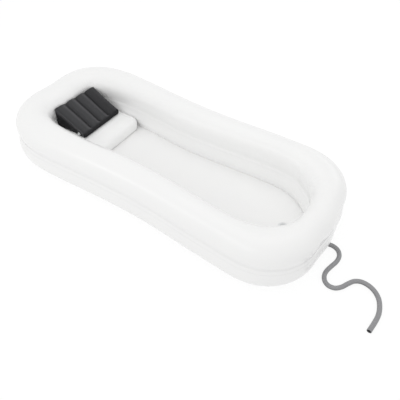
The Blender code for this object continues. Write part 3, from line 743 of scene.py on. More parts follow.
def ring_section(tube_width, round_height, flat, groove):
    """(reach, height) round a tube whose flat lies at -flat below its middle.

    Above the middle it is the ellipse (half width * cos a, half height * sin a). Below it the
    wall comes in only by groove * (depth / flat)^2 of its reach, and then it turns inwards
    and runs across, flat, to the other side.
    """
    corner = math.degrees(math.asin(2 * flat / round_height))
    angle = np.radians(section_angles(corner))
    up = round_height / 2 * np.sin(angle)
    depth = np.clip(-up / flat, 0, 1)
    turn = math.sqrt(1 - (2 * flat / round_height) ** 2)
    on_flat = np.clip(np.abs(np.cos(angle)) / turn, 0, 1)
    share = np.where(up < 0, np.sign(np.cos(angle)) * (1 - groove * depth**2) * on_flat, np.cos(angle))
    return angle, tube_width / 2 * WALL_SHARE * share, smooth_max(up, -flat, EDGE_SOFTNESS)


def belly(height):
    """Share of the lower ring's half width on its inner side, below the middle.

    The ellipse sqrt(1 - d^2) down to BELLY_TOP, with d = depth / half height; from there the
    floor sheet holds the wall on its straight tangent, down to BELLY_LOW; below, the wall
    goes back to the ellipse.
    """
    half = LOWER_ROUND / 2
    d = np.clip((LOWER_CENTRE - height) / half, 0, 1)
    ellipse = np.sqrt(1 - d**2)
    top = (LOWER_CENTRE - BELLY_TOP) / half
    slope = top / half / math.sqrt(1 - top**2)
    tangent = math.sqrt(1 - top**2) - slope * (BELLY_TOP - np.maximum(height, BELLY_LOW))
    low = (LOWER_CENTRE - BELLY_LOW) / half
    pulled = math.sqrt(1 - top**2) - slope * (BELLY_TOP - BELLY_LOW) - math.sqrt(1 - low**2)
    below = ellipse + pulled * smoothstep(BELLY_END, BELLY_LOW, height)
    return np.where(height > BELLY_TOP, ellipse, np.where(height > BELLY_LOW, tangent, below))


print("half width of the lower ring at the floor, as a share:", round(float(belly(0.036)), 3))

# %% [markdown]
# A ring is its section carried along the plan: each point of the plan gives the place, its
# outward normal gives the direction of the section's width, and the height stays upright.

# %% Ring surfaces
UPPER_SEED = 0.7
LOWER_SEED = 2.9
CALM_AT_SEAM = (0.016, 0.034)
CALM_AT_FLOOR = (0.045, 0.070)


def ring_grid(centre, tube_width, round_height, side, groove, seed):
    """Points of one ring: its section carried along the plan, by plan + outward * reach.

    side is 1 where the ring is pressed flat below, and -1 where it is pressed above. The
    ground presses in the same way: no point lies lower than 0. The puckers are calm beside
    the seam and the floor, where another sheet is welded on.
    """
    flat = abs(SEAM - centre) - GAP / 2
    angle, across, pressed = ring_section(tube_width, round_height, flat, groove)
    level = centre + side * pressed
    if side < 0:
        inner = (np.cos(angle) < 0) & (np.sin(angle) > 0)
        across = np.where(inner, -tube_width / 2 * WALL_SHARE * belly(level), across)
    calm = smoothstep(*CALM_AT_SEAM, np.abs(level - SEAM)) * smoothstep(*CALM_AT_FLOOR, level)
    dent = puckers(angle, seed) * calm[None, :]
    reach = plan_width[:, None] * across[None, :] + dent * np.cos(angle)[None, :]
    height = centre + side * (pressed[None, :] + dent * np.sin(angle)[None, :])
    height = smooth_max(height, 0.0, GROUND_SOFTNESS)
    xy = plan[:, None, :] + plan_out[:, None, :] * reach[:, :, None]
    return np.dstack([xy, height])


upper_grid = ring_grid(UPPER_CENTRE, UPPER_WIDTH, UPPER_ROUND, 1, UPPER_GROOVE, UPPER_SEED)
lower_grid = ring_grid(LOWER_CENTRE, LOWER_WIDTH, LOWER_ROUND, -1, LOWER_GROOVE, LOWER_SEED)
for place, grid in (("upper", upper_grid), ("lower", lower_grid)):
    print(place, "ring measures", np.round(np.ptp(grid, axis=(0, 1)), 3), "m")

# %% [markdown]
# ## Air valves
#
# Four moulded valves keep the air in: one on each ring, at the waist of the far side, one
# on the headrest and a small one on the pillow. A valve is round, so it is turned from a
# profile. The profile is given by its corners, and every corner gets a small round,
# because a mould has no sharp edge. Stacked cylinders would show a gap at every step. One
# turned surface has the flange, the neck, the bore and the tail in it.

# %% Turned pieces
TURN_STEPS = 72


def rounded(corners, radius, closed=False, steps=4):
    """Profile whose corners become the curves (1-t)^2 a + 2t(1-t) corner + t^2 b.

    a and b lie at the radius before and after the corner, or nearer on a short edge.
    """
    corner = np.asarray(corners, dtype=float)
    before = np.roll(corner, 1, axis=0) - corner
    after = np.roll(corner, -1, axis=0) - corner
    length = np.stack([np.linalg.norm(before, axis=1), np.linalg.norm(after, axis=1)])
    cut = np.minimum(radius, 0.45 * length.min(axis=0))[:, None]
    a = corner + before / length[0][:, None] * cut
    b = corner + after / length[1][:, None] * cut
    t = np.linspace(0, 1, steps + 1)[None, :, None]
    curve = (1 - t) ** 2 * a[:, None] + 2 * t * (1 - t) * corner[:, None] + t**2 * b[:, None]
    if closed:
        return curve.reshape(-1, 2)
    return np.vstack([corner[:1], curve[1:-1].reshape(-1, 2), corner[-1:]])


def turned_grid(profile, steps=TURN_STEPS):
    """A (radius, height) profile turned about Z: (r cos a, r sin a, h)."""
    angle = np.linspace(0, 2 * np.pi, steps, endpoint=False)[None, :]
    radius, height = profile[:, :1], profile[:, 1:]
    flat = np.zeros_like(angle)
    return np.dstack([radius * np.cos(angle), radius * np.sin(angle), height + flat])


def frame_at(spot, up, out):
    """4x4 matrix whose Z points out and whose Y points up, at a spot."""
    out, up = np.asarray(out, dtype=float), np.asarray(up, dtype=float)
    turn = np.eye(4)
    turn[:3, 0], turn[:3, 1], turn[:3, 2], turn[:3, 3] = np.cross(up, out), up, out, spot
    return turn


def moved(points, turn):
    """Points put into a frame: turn * point + place."""
    return points @ turn[:3, :3].T + turn[:3, 3]


def turned_piece(name, profile, turn, closed=False):
    """A profile turned about the Z of a frame, as a piece."""
    return grid_piece(name, moved(turned_grid(profile), turn), close_rows=closed)


print("the round of one corner has", len(rounded([(0, 0), (1, 0), (1, 1)], 0.1)) - 2, "points")

# %% [markdown]
# A strap or a lug is a block whose edges are broken a little. Where two closed pieces are
# moulded as one, or one makes a hole in another, a boolean joins or cuts them. It is made
# real at once, so the mesh that is looked at is the mesh that is there.

# %% Blocks and booleans
BLOCK_ROUND = 0.4 * MM
SHARP_FROM = math.radians(48)


def block_piece(name, low, high, turn):
    """A box between two corners with lightly rounded edges."""
    low, high = np.array(low), np.array(high)
    bm = bmesh.new()
    bmesh.ops.create_cube(bm, size=1)
    size = Matrix.Diagonal((*(high - low), 1))
    bmesh.ops.transform(bm, matrix=Matrix.Translation((low + high) / 2) @ size, verts=bm.verts)
    bmesh.ops.bevel(bm, geom=bm.edges, offset=BLOCK_ROUND, segments=2, profile=0.5, affect="EDGES")
    bmesh.ops.transform(bm, matrix=Matrix(turn.tolist()), verts=bm.verts)
    mesh = bpy.data.meshes.new(name)
    bm.to_mesh(mesh)
    bm.free()
    return object_from(name, mesh)


def combine(target, other, operation):
    """Boolean of two closed pieces, made real on the first one; the second one goes."""
    change = target.modifiers.new("combine", "BOOLEAN")
    change.operation = operation
    change.object = other
    bpy.context.view_layer.update()
    seen = target.evaluated_get(bpy.context.evaluated_depsgraph_get())
    mesh = bpy.data.meshes.new_from_object(seen)
    target.modifiers.clear()
    target.data = mesh
    bpy.data.objects.remove(other, do_unlink=True)
    mesh.shade_smooth()
    mesh.set_sharp_from_angle(angle=SHARP_FROM)
    return target


print("edges of blocks are rounded by", round(BLOCK_ROUND / MM, 2), "mm")

# %% [markdown]
# The three chamber valves are alike, and the pillow has the small kind. A size is a pair
# of radius and height, or of width and thickness for the strap. A seat is the middle of
# the flange, with the direction that its strap goes and the direction that it faces.

# %% Valve sizes and places
EDGE_ROUND = 0.0006
HOLE_OVERRUN = 0.004
CHAMBER_VALVE = {
    "flange": (0.0195, 0.0016),
    "neck": (0.0125, 0.0090),
    "bore": 0.0095,
    "tail": (0.0115, 0.0080),
    "lid": (0.0135, 0.0030),
    "stem": (0.0080, 0.0050),
    "strap": (0.0070, 0.0014),
    "lug": 0.0035,
    "hinge": 0.0185,
}
PILLOW_VALVE = {
    "flange": (0.0105, 0.0012),
    "neck": (0.0055, 0.0055),
    "bore": 0.0040,
    "tail": (0.0052, 0.0050),
    "lid": (0.0065, 0.0020),
    "stem": (0.0031, 0.0030),
    "strap": (0.0040, 0.0010),
    "lug": 0.0020,
    "hinge": 0.0090,
}
UP = (0.0, 0.0, 1.0)
UPPER_SEAT = ((-0.150476, 0.426273, 0.222689), UP, (0.045096, 0.998983, 0.0))
LOWER_SEAT = ((-0.149945, 0.438378, 0.090867), UP, (0.044182, 0.999023, 0.0))
HEADREST_SEAT = ((-0.5184, -0.179365, 0.1223), (0.0, 1.0, 0.0), UP)
PILLOW_SEAT = ((-0.637319, -0.1413, 0.1403), UP, (0.0, -1.0, 0.0))
for name, size in (("chamber", CHAMBER_VALVE), ("pillow", PILLOW_VALVE)):
    wide, bore = 2 * size["flange"][0] / MM, 2 * size["bore"] / MM
    print(name, "valve: flange", round(wide, 1), "mm wide, bore", round(bore, 1), "mm")

# %% [markdown]
# The seat and the cap are moulded in the same soft plastic. The cap's stem plugs the bore,
# and a thin strap ties it to a lug on the flange, so it opens without getting lost.

# %% Valve and cap


def valve_seat(name, size, turn):
    """Flange, neck, bore and tail, with the lug that holds the cap's strap."""
    (flange, thick), (neck, rise), bore = size["flange"], size["neck"], size["bore"]
    tail, depth = size["tail"]
    width, lug, hinge = size["strap"][0], size["lug"], size["hinge"]
    top = thick + rise
    corners = [
        (neck, top),
        (neck, thick),
        (flange, thick),
        (flange, 0),
        (tail, 0),
        (tail, -depth),
        (bore, -depth),
        (bore, top),
    ]
    seat = turned_piece(name + "_seat", rounded(corners, EDGE_ROUND, closed=True), turn, closed=True)
    low, high = (-width / 2, hinge - lug, thick / 2), (width / 2, hinge, top)
    return combine(seat, block_piece(name + "_lug", low, high, turn), "UNION")


def valve_cap(name, size, turn):
    """Lid, the stem that plugs the bore, and the strap to the lug."""
    top = size["flange"][1] + size["neck"][1] + GAP
    (lid, thick), (stem, depth) = size["lid"], size["stem"]
    width, strap = size["strap"]
    hinge = size["hinge"]
    corners = [
        (0, top + thick),
        (lid, top + thick),
        (lid, top),
        (stem, top),
        (stem, top - depth),
        (0, top - depth),
    ]
    cap = turned_piece(name + "_lid", rounded(corners, EDGE_ROUND), turn)
    low, high = (-width / 2, stem, top), (width / 2, hinge, top + strap)
    return combine(cap, block_piece(name + "_strap", low, high, turn), "UNION")


def air_valve(name, size, seat, body, wall):
    """A valve with its cap, and the hole in the wall that its tail goes through."""
    turn = frame_at(*seat)
    base = valve_seat(name, size, turn)
    finish_piece(base, body, moulded_white, [name])
    cap = valve_cap(name, size, turn)
    finish_piece(cap, name + "_cap_body", moulded_white, [name + "_cap"])
    tail, depth = size["tail"]
    reach, end = tail + GAP, -depth - HOLE_OVERRUN
    pit = np.array([(0, HOLE_OVERRUN), (reach, HOLE_OVERRUN), (reach, end), (0, end)])
    combine(wall, turned_piece(name + "_hole", pit, turn), "DIFFERENCE")


print("a chamber valve's cap turns", round(CHAMBER_VALVE["hinge"] / MM, 1), "mm beside its middle")

# %% [markdown]
# A stiff flange can't follow a round tube, so the film goes flat below it and is round
# again a few centimetres away. The ring's points are pulled into the flange's plane
# before they become a mesh, and then the valve's tail gets its hole.

# %% Both rings and their valves
SEAT_MARGIN = 0.030
FLANGE_MARGIN = 0.002


def flatten_round(points, spot, out, radius, margin):
    """Pulls film flat under a welded flange: within radius it lies in the flange's plane.

    The pull, depth * (1 - smoothstep), fades out over the margin round it.
    """
    offset = points - (spot - out * GAP)
    depth = offset @ out
    beside = np.linalg.norm(offset - depth[..., None] * out, axis=-1)
    near = np.abs(depth) < 2 * radius
    pull = (1 - smoothstep(radius, radius + margin, beside)) * near
    return points - (depth * pull)[..., None] * out


def seated(grid, seat, size):
    """A grid of points, drawn flat under a valve's flange."""
    spot, _, out = (np.array(v) for v in seat)
    return flatten_round(grid, spot, out, size["flange"][0] + FLANGE_MARGIN, SEAT_MARGIN)


def air_ring(name, grid, node, seat):
    """A ring of film, flat where its valve sits."""
    piece = grid_piece(name, seated(grid, seat, CHAMBER_VALVE), close_rows=True)
    finish_piece(piece, "tub", film_white, [node])
    return piece


upper_ring = air_ring("upper_ring_film", upper_grid, "upper_air_ring", UPPER_SEAT)
lower_ring = air_ring("lower_ring_film", lower_grid, "lower_air_ring", LOWER_SEAT)
air_valve("upper_ring_valve", CHAMBER_VALVE, UPPER_SEAT, "tub", upper_ring)
air_valve("lower_ring_valve", CHAMBER_VALVE, LOWER_SEAT, "tub", lower_ring)

# %% [markdown]
# The rings meet at a weld along each wall, and a strip of the same film covers it. The
# lower ring is a little wider, so the strip goes up from its wall and turns into the upper
# ring's wall. Bridging the two meshes would leave a hard step. A smooth maximum of the two
# walls makes one soft valley between the tubes.

# %% Seam strips
STRIP_BELOW = 0.005
STRIP_ABOVE = 0.030
STRIP_ROWS = 20
STRIP_FILM = 0.0004
STRIP_EDGE = 0.15
VALLEY_SOFTNESS = 0.0025


def wall_reach(height, centre, tube_width, groove):
    """Half width of a tube beside the seam: half * (1 - groove * (depth / flat)^2)."""
    flat = abs(SEAM - centre) - GAP / 2
    return tube_width / 2 * WALL_SHARE * (1 - groove * ((height - centre) / flat) ** 2)


def strip_grid(side):
    """A strip along the whole plan, 1 outside or -1 inside: up its back and down its face."""
    height = np.linspace(SEAM - STRIP_BELOW, SEAM + STRIP_ABOVE, STRIP_ROWS)
    upper = wall_reach(height, UPPER_CENTRE, UPPER_WIDTH, UPPER_GROOVE)
    lower = wall_reach(height, LOWER_CENTRE, LOWER_WIDTH, LOWER_GROOVE)
    reach = smooth_max(upper, lower, VALLEY_SOFTNESS)
    from_edge = np.minimum(np.arange(STRIP_ROWS), np.arange(STRIP_ROWS)[::-1])
    film = STRIP_FILM * np.clip(from_edge / 2, STRIP_EDGE, 1)
    push = np.concatenate([np.full(STRIP_ROWS, GAP), GAP + film[::-1]])[None, :]
    across = side * (plan_width[:, None] * np.concatenate([reach, reach[::-1]])[None, :] + push)
    xy = plan[:, None, :] + plan_out[:, None, :] * across[:, :, None]
    up = np.broadcast_to(np.concatenate([height, height[::-1]]), across.shape)
    return np.dstack([xy, up])


for side, place in ((1, "outer"), (-1, "inner")):
    strip = grid_piece(place + "_seam_strip", strip_grid(side), close_rows=True)
    finish_piece(strip, "tub", film_white)

# %% [markdown]
# ## The floor sheet
#
# The floor is one sheet of film, cut to the inside of the lower ring and welded to its
# wall: its margin turns down and lies on the wall below the floor. A flat face trimmed to
# that line would have no points to ripple. So rows of points go from a spine on the
# bath's middle line out to the weld, and fan out round both ends. The weld draws the film
# together a little, and that leaves short, shallow ripples beside it.

# %% Floor sheet
FLOOR_LEVEL = 0.036
FLOOR_SHEET = 0.0010
SIDE_GAP = 0.0003
MARGIN_HEIGHTS = (0.0354, 0.034, 0.031, 0.027, 0.022, 0.0175, 0.013, 0.008)
FLOOR_ROWS = 36
ROW_CROWDING = 1.6
SPINE_ENDS = (-0.66, 0.66)
RIPPLE_DEPTH = 0.0009
RIPPLE_WAVE = 0.052
RIPPLE_REACH = 0.055
SWAY_WAVE = 0.41
SWAY = 1.9


def inner_wall(height, gap, step=1):
    """Line on the inside of the lower ring, not above its middle: plan - outward * reach."""
    reach = LOWER_WIDTH / 2 * WALL_SHARE * float(belly(np.array(height)))
    line = plan - plan_out * (plan_width * reach + gap)[:, None]
    return line[::step]


def floor_grid(step):
    """Rows from the spine to the weld, closer together near it, then down the margin.

    A ripple's depth at a distance x from the weld goes as x * exp(-3 x / RIPPLE_REACH).
    """
    weld = inner_wall(FLOOR_LEVEL, SIDE_GAP, step)
    spine = np.column_stack([np.clip(weld[:, 0], *SPINE_ENDS), np.zeros(len(weld))])
    share = 1 - (1 - np.linspace(0, 1, FLOOR_ROWS)) ** ROW_CROWDING
    flat = spine[None] + (weld - spine)[None] * share[:, None, None]
    from_weld = np.linalg.norm(weld[None] - flat, axis=2)
    sway = SWAY * np.sin(whole_waves(weld, SWAY_WAVE))
    wave = 0.5 + 0.5 * np.sin(whole_waves(weld, RIPPLE_WAVE) + sway)[None, :]
    far = from_weld / RIPPLE_REACH
    dip = RIPPLE_DEPTH * wave * far * np.exp(1 - 3 * far) / 2
    rows = [np.dstack([flat, FLOOR_LEVEL - dip])]
    for height in MARGIN_HEIGHTS:
        line = inner_wall(height, SIDE_GAP, step)
        rows.append(np.column_stack([line, np.full(len(line), height)])[None])
    return np.concatenate(rows)


def thickened(piece, thickness):
    """Gives an open sheet its thickness on its lower side, and makes that real."""
    wall = piece.modifiers.new("sheet", "SOLIDIFY")
    wall.thickness = thickness
    wall.offset = -1
    wall.use_even_offset = True
    bpy.context.view_layer.update()
    seen = piece.evaluated_get(bpy.context.evaluated_depsgraph_get())
    mesh = bpy.data.meshes.new_from_object(seen)
    piece.modifiers.clear()
    piece.data = mesh
    return piece


def upright_at(x, y):
    """The frame at a place on the ground whose Z points up."""
    return frame_at((x, y, 0.0), (0.0, 1.0, 0.0), UP)


floor_sheet = grid_piece("bath_floor_sheet", floor_grid(2)[::-1])
thickened(floor_sheet, FLOOR_SHEET)
cup, high, low = DRAIN_CUP_RADIUS + GAP, FLOOR_LEVEL + HOLE_OVERRUN, FLOOR_LEVEL / 2
drain_hole = turned_piece(
    "drain_hole", np.array([(0, high), (cup, high), (cup, low), (0, low)]), upright_at(DRAIN_X, DRAIN_Y)
)
combine(floor_sheet, drain_hole, "DIFFERENCE")
finish_piece(floor_sheet, "tub", film_floor, ["bath_floor"])

# %% [markdown]
# ## The drain
#
# The drain is moulded in one: a flange on the floor, a cup below it, and a barbed spigot
# that the hose is pushed on. All of it is round about one of two lines, upright for the
# cup and level for the spigot, so two turned pieces are joined and then bored out.

# %% Drain
DRAIN_FLANGE = (0.030, 0.0025)
DRAIN_WALL = 0.0025
DRAIN_BASE = 0.0015
DRAIN_SEAT = (0.0020, 0.0090)
DRAIN_ROUND = 0.0012
SPIGOT_LENGTH = 0.036
SPIGOT_WALL = 0.0016
BARB_HEIGHT = 0.0010
BARB_LENGTH = 0.0070
BARB_ROUND = 0.0002
BARB_SHARE = math.cos(math.pi / 8)
BARBS = 3


def hose_heading():
    """The direction on the ground in which the hose leaves the drain."""
    heading = np.array(HOSE_ROUTE[1]) - [DRAIN_X, DRAIN_Y]
    return heading / np.linalg.norm(heading)


def lying_frame():
    """At the drain, at the hose's height: Z runs along the hose."""
    out = np.array([*hose_heading(), 0.0])
    return frame_at((DRAIN_X, DRAIN_Y, HOSE_RADIUS), UP, out)


def drain_piece():
    """Flange, cup and spigot joined, then the cup's inside and the spigot's bore cut out."""
    upright = upright_at(DRAIN_X, DRAIN_Y)
    top = FLOOR_LEVEL + GAP + DRAIN_FLANGE[1]
    low = FLOOR_LEVEL + GAP
    corners = [(0, top), (DRAIN_FLANGE[0], top), (DRAIN_FLANGE[0], low)]
    corners += [(DRAIN_CUP_RADIUS, low), (DRAIN_CUP_RADIUS, DRAIN_BASE), (0, DRAIN_BASE)]
    body = turned_piece("drain_moulding", rounded(corners, DRAIN_ROUND), upright)
    barb = (HOSE_RADIUS - HOSE_WALL) * BARB_SHARE - GAP
    root = barb - BARB_HEIGHT
    tip = DRAIN_CUP_RADIUS + SPIGOT_LENGTH
    seat = DRAIN_CUP_RADIUS - DRAIN_WALL
    spigot = [(0, tip), (root, tip)]
    for i in range(BARBS):
        back = tip - BARB_LENGTH * (i + 1)
        spigot += [(barb, back), (root, back)]
    spigot += [(root, seat - DRAIN_WALL), (0, seat - DRAIN_WALL)]
    combine(body, turned_piece("spigot", rounded(spigot, BARB_ROUND), lying_frame()), "UNION")
    step, depth = DRAIN_SEAT
    over, base = top + HOLE_OVERRUN, DRAIN_BASE + DRAIN_WALL
    inside = [(0, over), (seat - step, over), (seat - step, top - depth)]
    inside += [(seat, top - depth), (seat, base), (0, base)]
    combine(body, turned_piece("cup_inside", np.array(inside), upright), "DIFFERENCE")
    bore, over = root - SPIGOT_WALL, tip + HOLE_OVERRUN
    inside = np.array([(0, over), (bore, over), (bore, 0), (0, 0)])
    combine(body, turned_piece("spigot_bore", inside, lying_frame()), "DIFFERENCE")
    return body


finish_piece(drain_piece(), "tub", moulded_white, ["drain_body"])

# %% [markdown]
# A nut with eight flats clamps the sheet from below. Turning a profile in only eight steps
# makes the flats by itself.

# %% Nut
NUT_FLATS = 8
NUT_RADIUS = 0.027
NUT_HEIGHT = 0.0060
NUT_ROUND = 0.0008


def nut_piece():
    """A ring turned in as many steps as it has flats, bored for the cup."""
    high = FLOOR_LEVEL - FLOOR_SHEET - GAP
    corners = [(0, high), (NUT_RADIUS, high), (NUT_RADIUS, high - NUT_HEIGHT), (0, high - NUT_HEIGHT)]
    turn = frame_at((DRAIN_X, DRAIN_Y, 0.0), np.cross(UP, [*hose_heading(), 0.0]), UP)
    nut = grid_piece("drain_nut", moved(turned_grid(rounded(corners, NUT_ROUND), NUT_FLATS), turn))
    reach, over = DRAIN_CUP_RADIUS + GAP, high + HOLE_OVERRUN
    hole = np.array([(0, over), (reach, over), (reach, 0), (0, 0)])
    return combine(nut, turned_piece("nut_hole", hole, turn), "DIFFERENCE")


finish_piece(nut_piece(), "tub", moulded_white, ["drain_backnut"])

# %% [markdown]
# A plug of pale rubber closes the drain: a slightly tapered body in the seat, a head that
# covers it, and a knob to pull it by. One profile, turned, has all three.

# %% Plug
PLUG_HEAD = (0.0190, 0.0030)
PLUG_STEM = (0.0035, 0.0030)
PLUG_KNOB = (0.0065, 0.0035)
PLUG_DEPTH = 0.0080
PLUG_TAPER = 0.0012
PLUG_ROUND = 0.0010


def plug_piece():
    """The plug's profile turned about the drain's upright line."""
    seat = FLOOR_LEVEL + GAP + DRAIN_FLANGE[1] + GAP
    head = seat + PLUG_HEAD[1]
    body = DRAIN_CUP_RADIUS - DRAIN_WALL - DRAIN_SEAT[0] - GAP
    knob = head + PLUG_STEM[1]
    corners = [
        (0, knob + PLUG_KNOB[1]),
        (PLUG_KNOB[0], knob + PLUG_KNOB[1]),
        (PLUG_KNOB[0], knob + PLUG_KNOB[1] / 3),
        (PLUG_STEM[0], knob),
        (PLUG_STEM[0], head),
        (PLUG_HEAD[0], head),
        (PLUG_HEAD[0], seat),
        (body, seat),
        (body - PLUG_TAPER, seat - PLUG_DEPTH),
        (0, seat - PLUG_DEPTH),
    ]
    return turned_piece("plug_moulding", rounded(corners, PLUG_ROUND), upright_at(DRAIN_X, DRAIN_Y))


finish_piece(plug_piece(), "plug", moulded_rubber, ["drain_plug"])

# %% [markdown]
# ## The headrest
#
# The headrest is an air cushion, built in across the head end. Its back follows the wall
# of the lower ring, and its front is straight with two round corners. Drawing it by hand
# would leave a gap at the wall somewhere, so the outline is cut from the wall's own line.

# %% Headrest outline
HEADREST_FRONT_X = -0.4384
HEADREST_CORNER = 0.055
HEADREST_POINTS = 480
OUTLINE_SPREAD = 2.0


def closed_evenly(line, count):
    """A closed line with points at equal distances."""
    return evenly(np.vstack([line, line[:1]]), count + 1)[:-1]


def softened(line, spread):
    """A closed line averaged with its neighbours, by weights exp(-(i / spread)^2 / 2)."""
    reach = int(3 * spread)
    weight = np.exp(-(np.arange(-reach, reach + 1) / spread) ** 2 / 2)
    weight /= weight.sum()
    return sum(w * np.roll(line, k, axis=0) for w, k in zip(weight, range(-reach, reach + 1)))


def headrest_outline():
    """The wall's line at the head, then the front with a round corner at each end."""
    wall = inner_wall(LOWER_CENTRE, SIDE_GAP)
    corner_x = HEADREST_FRONT_X - HEADREST_CORNER
    back = wall[wall[:, 0] < corner_x]
    turn = np.radians(np.linspace(-90, 0, 16))
    side = np.abs(back[0, 1]) - HEADREST_CORNER
    arc = HEADREST_CORNER * np.column_stack([np.cos(turn), np.sin(turn)]) + [corner_x, -side]
    line = closed_evenly(np.vstack([back, arc, arc[::-1] * [1, -1]]), HEADREST_POINTS)
    return softened(line, OUTLINE_SPREAD)


print("headrest measures", np.round(np.ptp(headrest_outline(), axis=0), 3), "m from above")

# %% [markdown]
# Air rounds the cushion's edges. From the side, the edge is a superellipse, a little
# fuller than an ellipse, as film is that can't stretch. Loops of points, each set further
# in from the outline, carry that profile round. A rounded box would have the same edge
# all round and a flat top, and this one swells a few millimetres towards its middle.

# %% Headrest surface
HEADREST_LOW = FLOOR_LEVEL + GAP
HEADREST_MIDDLE = 0.078
HEADREST_TOP = 0.122
HEADREST_CROWN = 0.0045
HEADREST_EDGE = (0.034, 0.020)
HEADREST_FULLNESS = 2.4
CROWN_REACH = 0.050
SPINE_SHARE = 0.8


def edge_profile():
    """(inset, height) from under the base, round the side and up to the crown's edge.

    Both follow |x / a|^n + |z / b|^n = 1, with n the fullness.
    """
    power = 2 / HEADREST_FULLNESS
    phi = np.radians(np.linspace(90, 0, 10))
    low = np.column_stack(
        [
            HEADREST_EDGE[1] * (1 - np.cos(phi) ** power),
            HEADREST_MIDDLE - (HEADREST_MIDDLE - HEADREST_LOW) * np.sin(phi) ** power,
        ]
    )
    phi = np.radians(np.linspace(0, 90, 16))[1:]
    rise = HEADREST_TOP - HEADREST_CROWN - HEADREST_MIDDLE
    high = np.column_stack(
        [HEADREST_EDGE[0] * (1 - np.cos(phi) ** power), HEADREST_MIDDLE + rise * np.sin(phi) ** power]
    )
    return np.vstack([low, high])


def headrest_grid():
    """Loops from the base's spine out to its edge, round it, and in to the top's spine.

    On the top, height = crown's edge + crown * (2 smoothstep(distance in) - 1).
    """
    outline = headrest_outline()
    inwards = -outward(outline)
    profile = edge_profile()
    loops = [np.column_stack([outline + inwards * d, np.full(len(outline), z)]) for d, z in profile]
    first, last = loops[0], loops[-1]
    low, high = last[:, 1].min() * SPINE_SHARE, last[:, 1].max() * SPINE_SHARE
    middle_x = (last[:, 0].min() + last[:, 0].max()) / 2
    spine = np.column_stack([np.full(len(last), middle_x), np.clip(last[:, 1], low, high)])
    under, over = [], []
    for t in np.linspace(0, 1, 15)[1:]:
        flat = first[:, :2] + (spine - first[:, :2]) * t
        under.append(np.column_stack([flat, np.full(len(flat), HEADREST_LOW)]))
        flat = last[:, :2] + (spine - last[:, :2]) * t
        far_in = np.linalg.norm(flat - last[:, :2], axis=1)
        rise = HEADREST_CROWN * smoothstep(-CROWN_REACH, CROWN_REACH, far_in) * 2 - HEADREST_CROWN
        level = HEADREST_TOP - HEADREST_CROWN + np.clip(rise, 0, HEADREST_CROWN)
        over.append(np.column_stack([flat, level]))
    return np.stack([*under[::-1], *loops, *over])


headrest = grid_piece("headrest_film", seated(headrest_grid(), HEADREST_SEAT, CHAMBER_VALVE))
finish_piece(headrest, "tub", film_white, ["headrest_cushion"])
air_valve("headrest_valve", CHAMBER_VALVE, HEADREST_SEAT, "tub", headrest)

# %% [markdown]
# ## The wedge pillow
#
# The pillow is a wedge: thick where it leans on the wall, thin at the bather's shoulders.
# Three lines of weld join its top to film inside and divide it into four channels, and
# air lifts each channel between its welds. A cloth simulation would swell it too, but its
# outline would shrink as it does. Across one channel the top is sin^0.65 of the way over,
# which is steep at the weld and round on top, as a taut film is.

# %% Pillow sizes and channels
PILLOW_WIDTH = 0.330
PILLOW_LENGTH = 0.240
PILLOW_BACK_X = -0.8253
PILLOW_CENTRE_Y = 0.024
PILLOW_BASE = HEADREST_TOP + GAP
PILLOW_SKEW = 0.024
PILLOW_BACK_HEIGHT = 0.133
PILLOW_FRONT_HEIGHT = 0.026
CHANNELS = 4
CHANNEL_CROWN = 0.018
CHANNEL_POWER = 0.65
CHANNEL_POINTS = 28
WELD_SHARE = 0.014
EDGE_SHARE = 0.80


def channel_swell(across):
    """Height of the channels as a share of their crown; across runs from -1 to 1."""
    place = (CHANNELS * (across + 1) / 2) % 1.0
    inside = np.clip((place - WELD_SHARE) / (1 - 2 * WELD_SHARE), 0, 1)
    swell = np.abs(np.sin(np.pi * inside)) ** CHANNEL_POWER
    outer_half = np.abs(across) > 1 - 1 / CHANNELS
    return np.where(outer_half, EDGE_SHARE + (1 - EDGE_SHARE) * swell, swell)


def height_at(along):
    """Height of the wedge: back height - slope * distance from the back."""
    slope = (PILLOW_BACK_HEIGHT - PILLOW_FRONT_HEIGHT) / PILLOW_LENGTH
    return PILLOW_BACK_HEIGHT - slope * along


print("pillow is", round(float(height_at(PILLOW_LENGTH / 2)), 4), "m high at its middle")

# %% [markdown]
# The pillow's points are rows from its back to its front. A row goes along the base, up
# one side, over the channels and down the other side. The welds stop short of the front,
# so the channels run together there in one smooth lip. The last rows at both ends close
# the wedge.

# %% Pillow rows
BACK_ROUND = 0.005
FRONT_ROUND = 0.011
SIDE_DRAW = 0.003
SIDE_BULGE = 0.0015
SIDE_SPLAY = 0.010
SPLAY_TOP = 0.9
BASE_ROUND = 0.009
BACK_FOOT = (0.005, 0.030)
BACK_LEAN = 0.006
CHANNEL_END = (0.86, 0.95)
CHANNEL_FADE = 0.92
CHANNEL_SHIFT = 0.05
LIP_EDGE = 0.93
LIP_FALL = 0.010
SEAM_BEAD = 0.0012


def pillow_stations():
    """Rows along the pillow as (distance from the back, inset, share kept of the height)."""
    phi = np.radians(np.linspace(0, 90, 8))
    out, into = 1 - np.cos(phi), 1 - np.sin(phi)
    back = np.column_stack([BACK_ROUND * out, BACK_ROUND * into, np.ones(8)])
    front = np.column_stack([PILLOW_LENGTH - FRONT_ROUND * out, FRONT_ROUND * into, np.ones(8)])[::-1]
    body = np.linspace(BACK_ROUND, PILLOW_LENGTH - FRONT_ROUND, 74)[1:-1]
    middle = np.column_stack([body, np.zeros(len(body)), np.ones(len(body))])
    shut = np.linspace(0, 1, 6)[:-1]
    back_cap = np.column_stack([np.zeros(5), np.full(5, BACK_ROUND), shut])
    front_cap = np.column_stack([np.full(5, PILLOW_LENGTH), np.full(5, FRONT_ROUND), shut])[::-1]
    return np.vstack([back_cap, back, middle, front, front_cap])


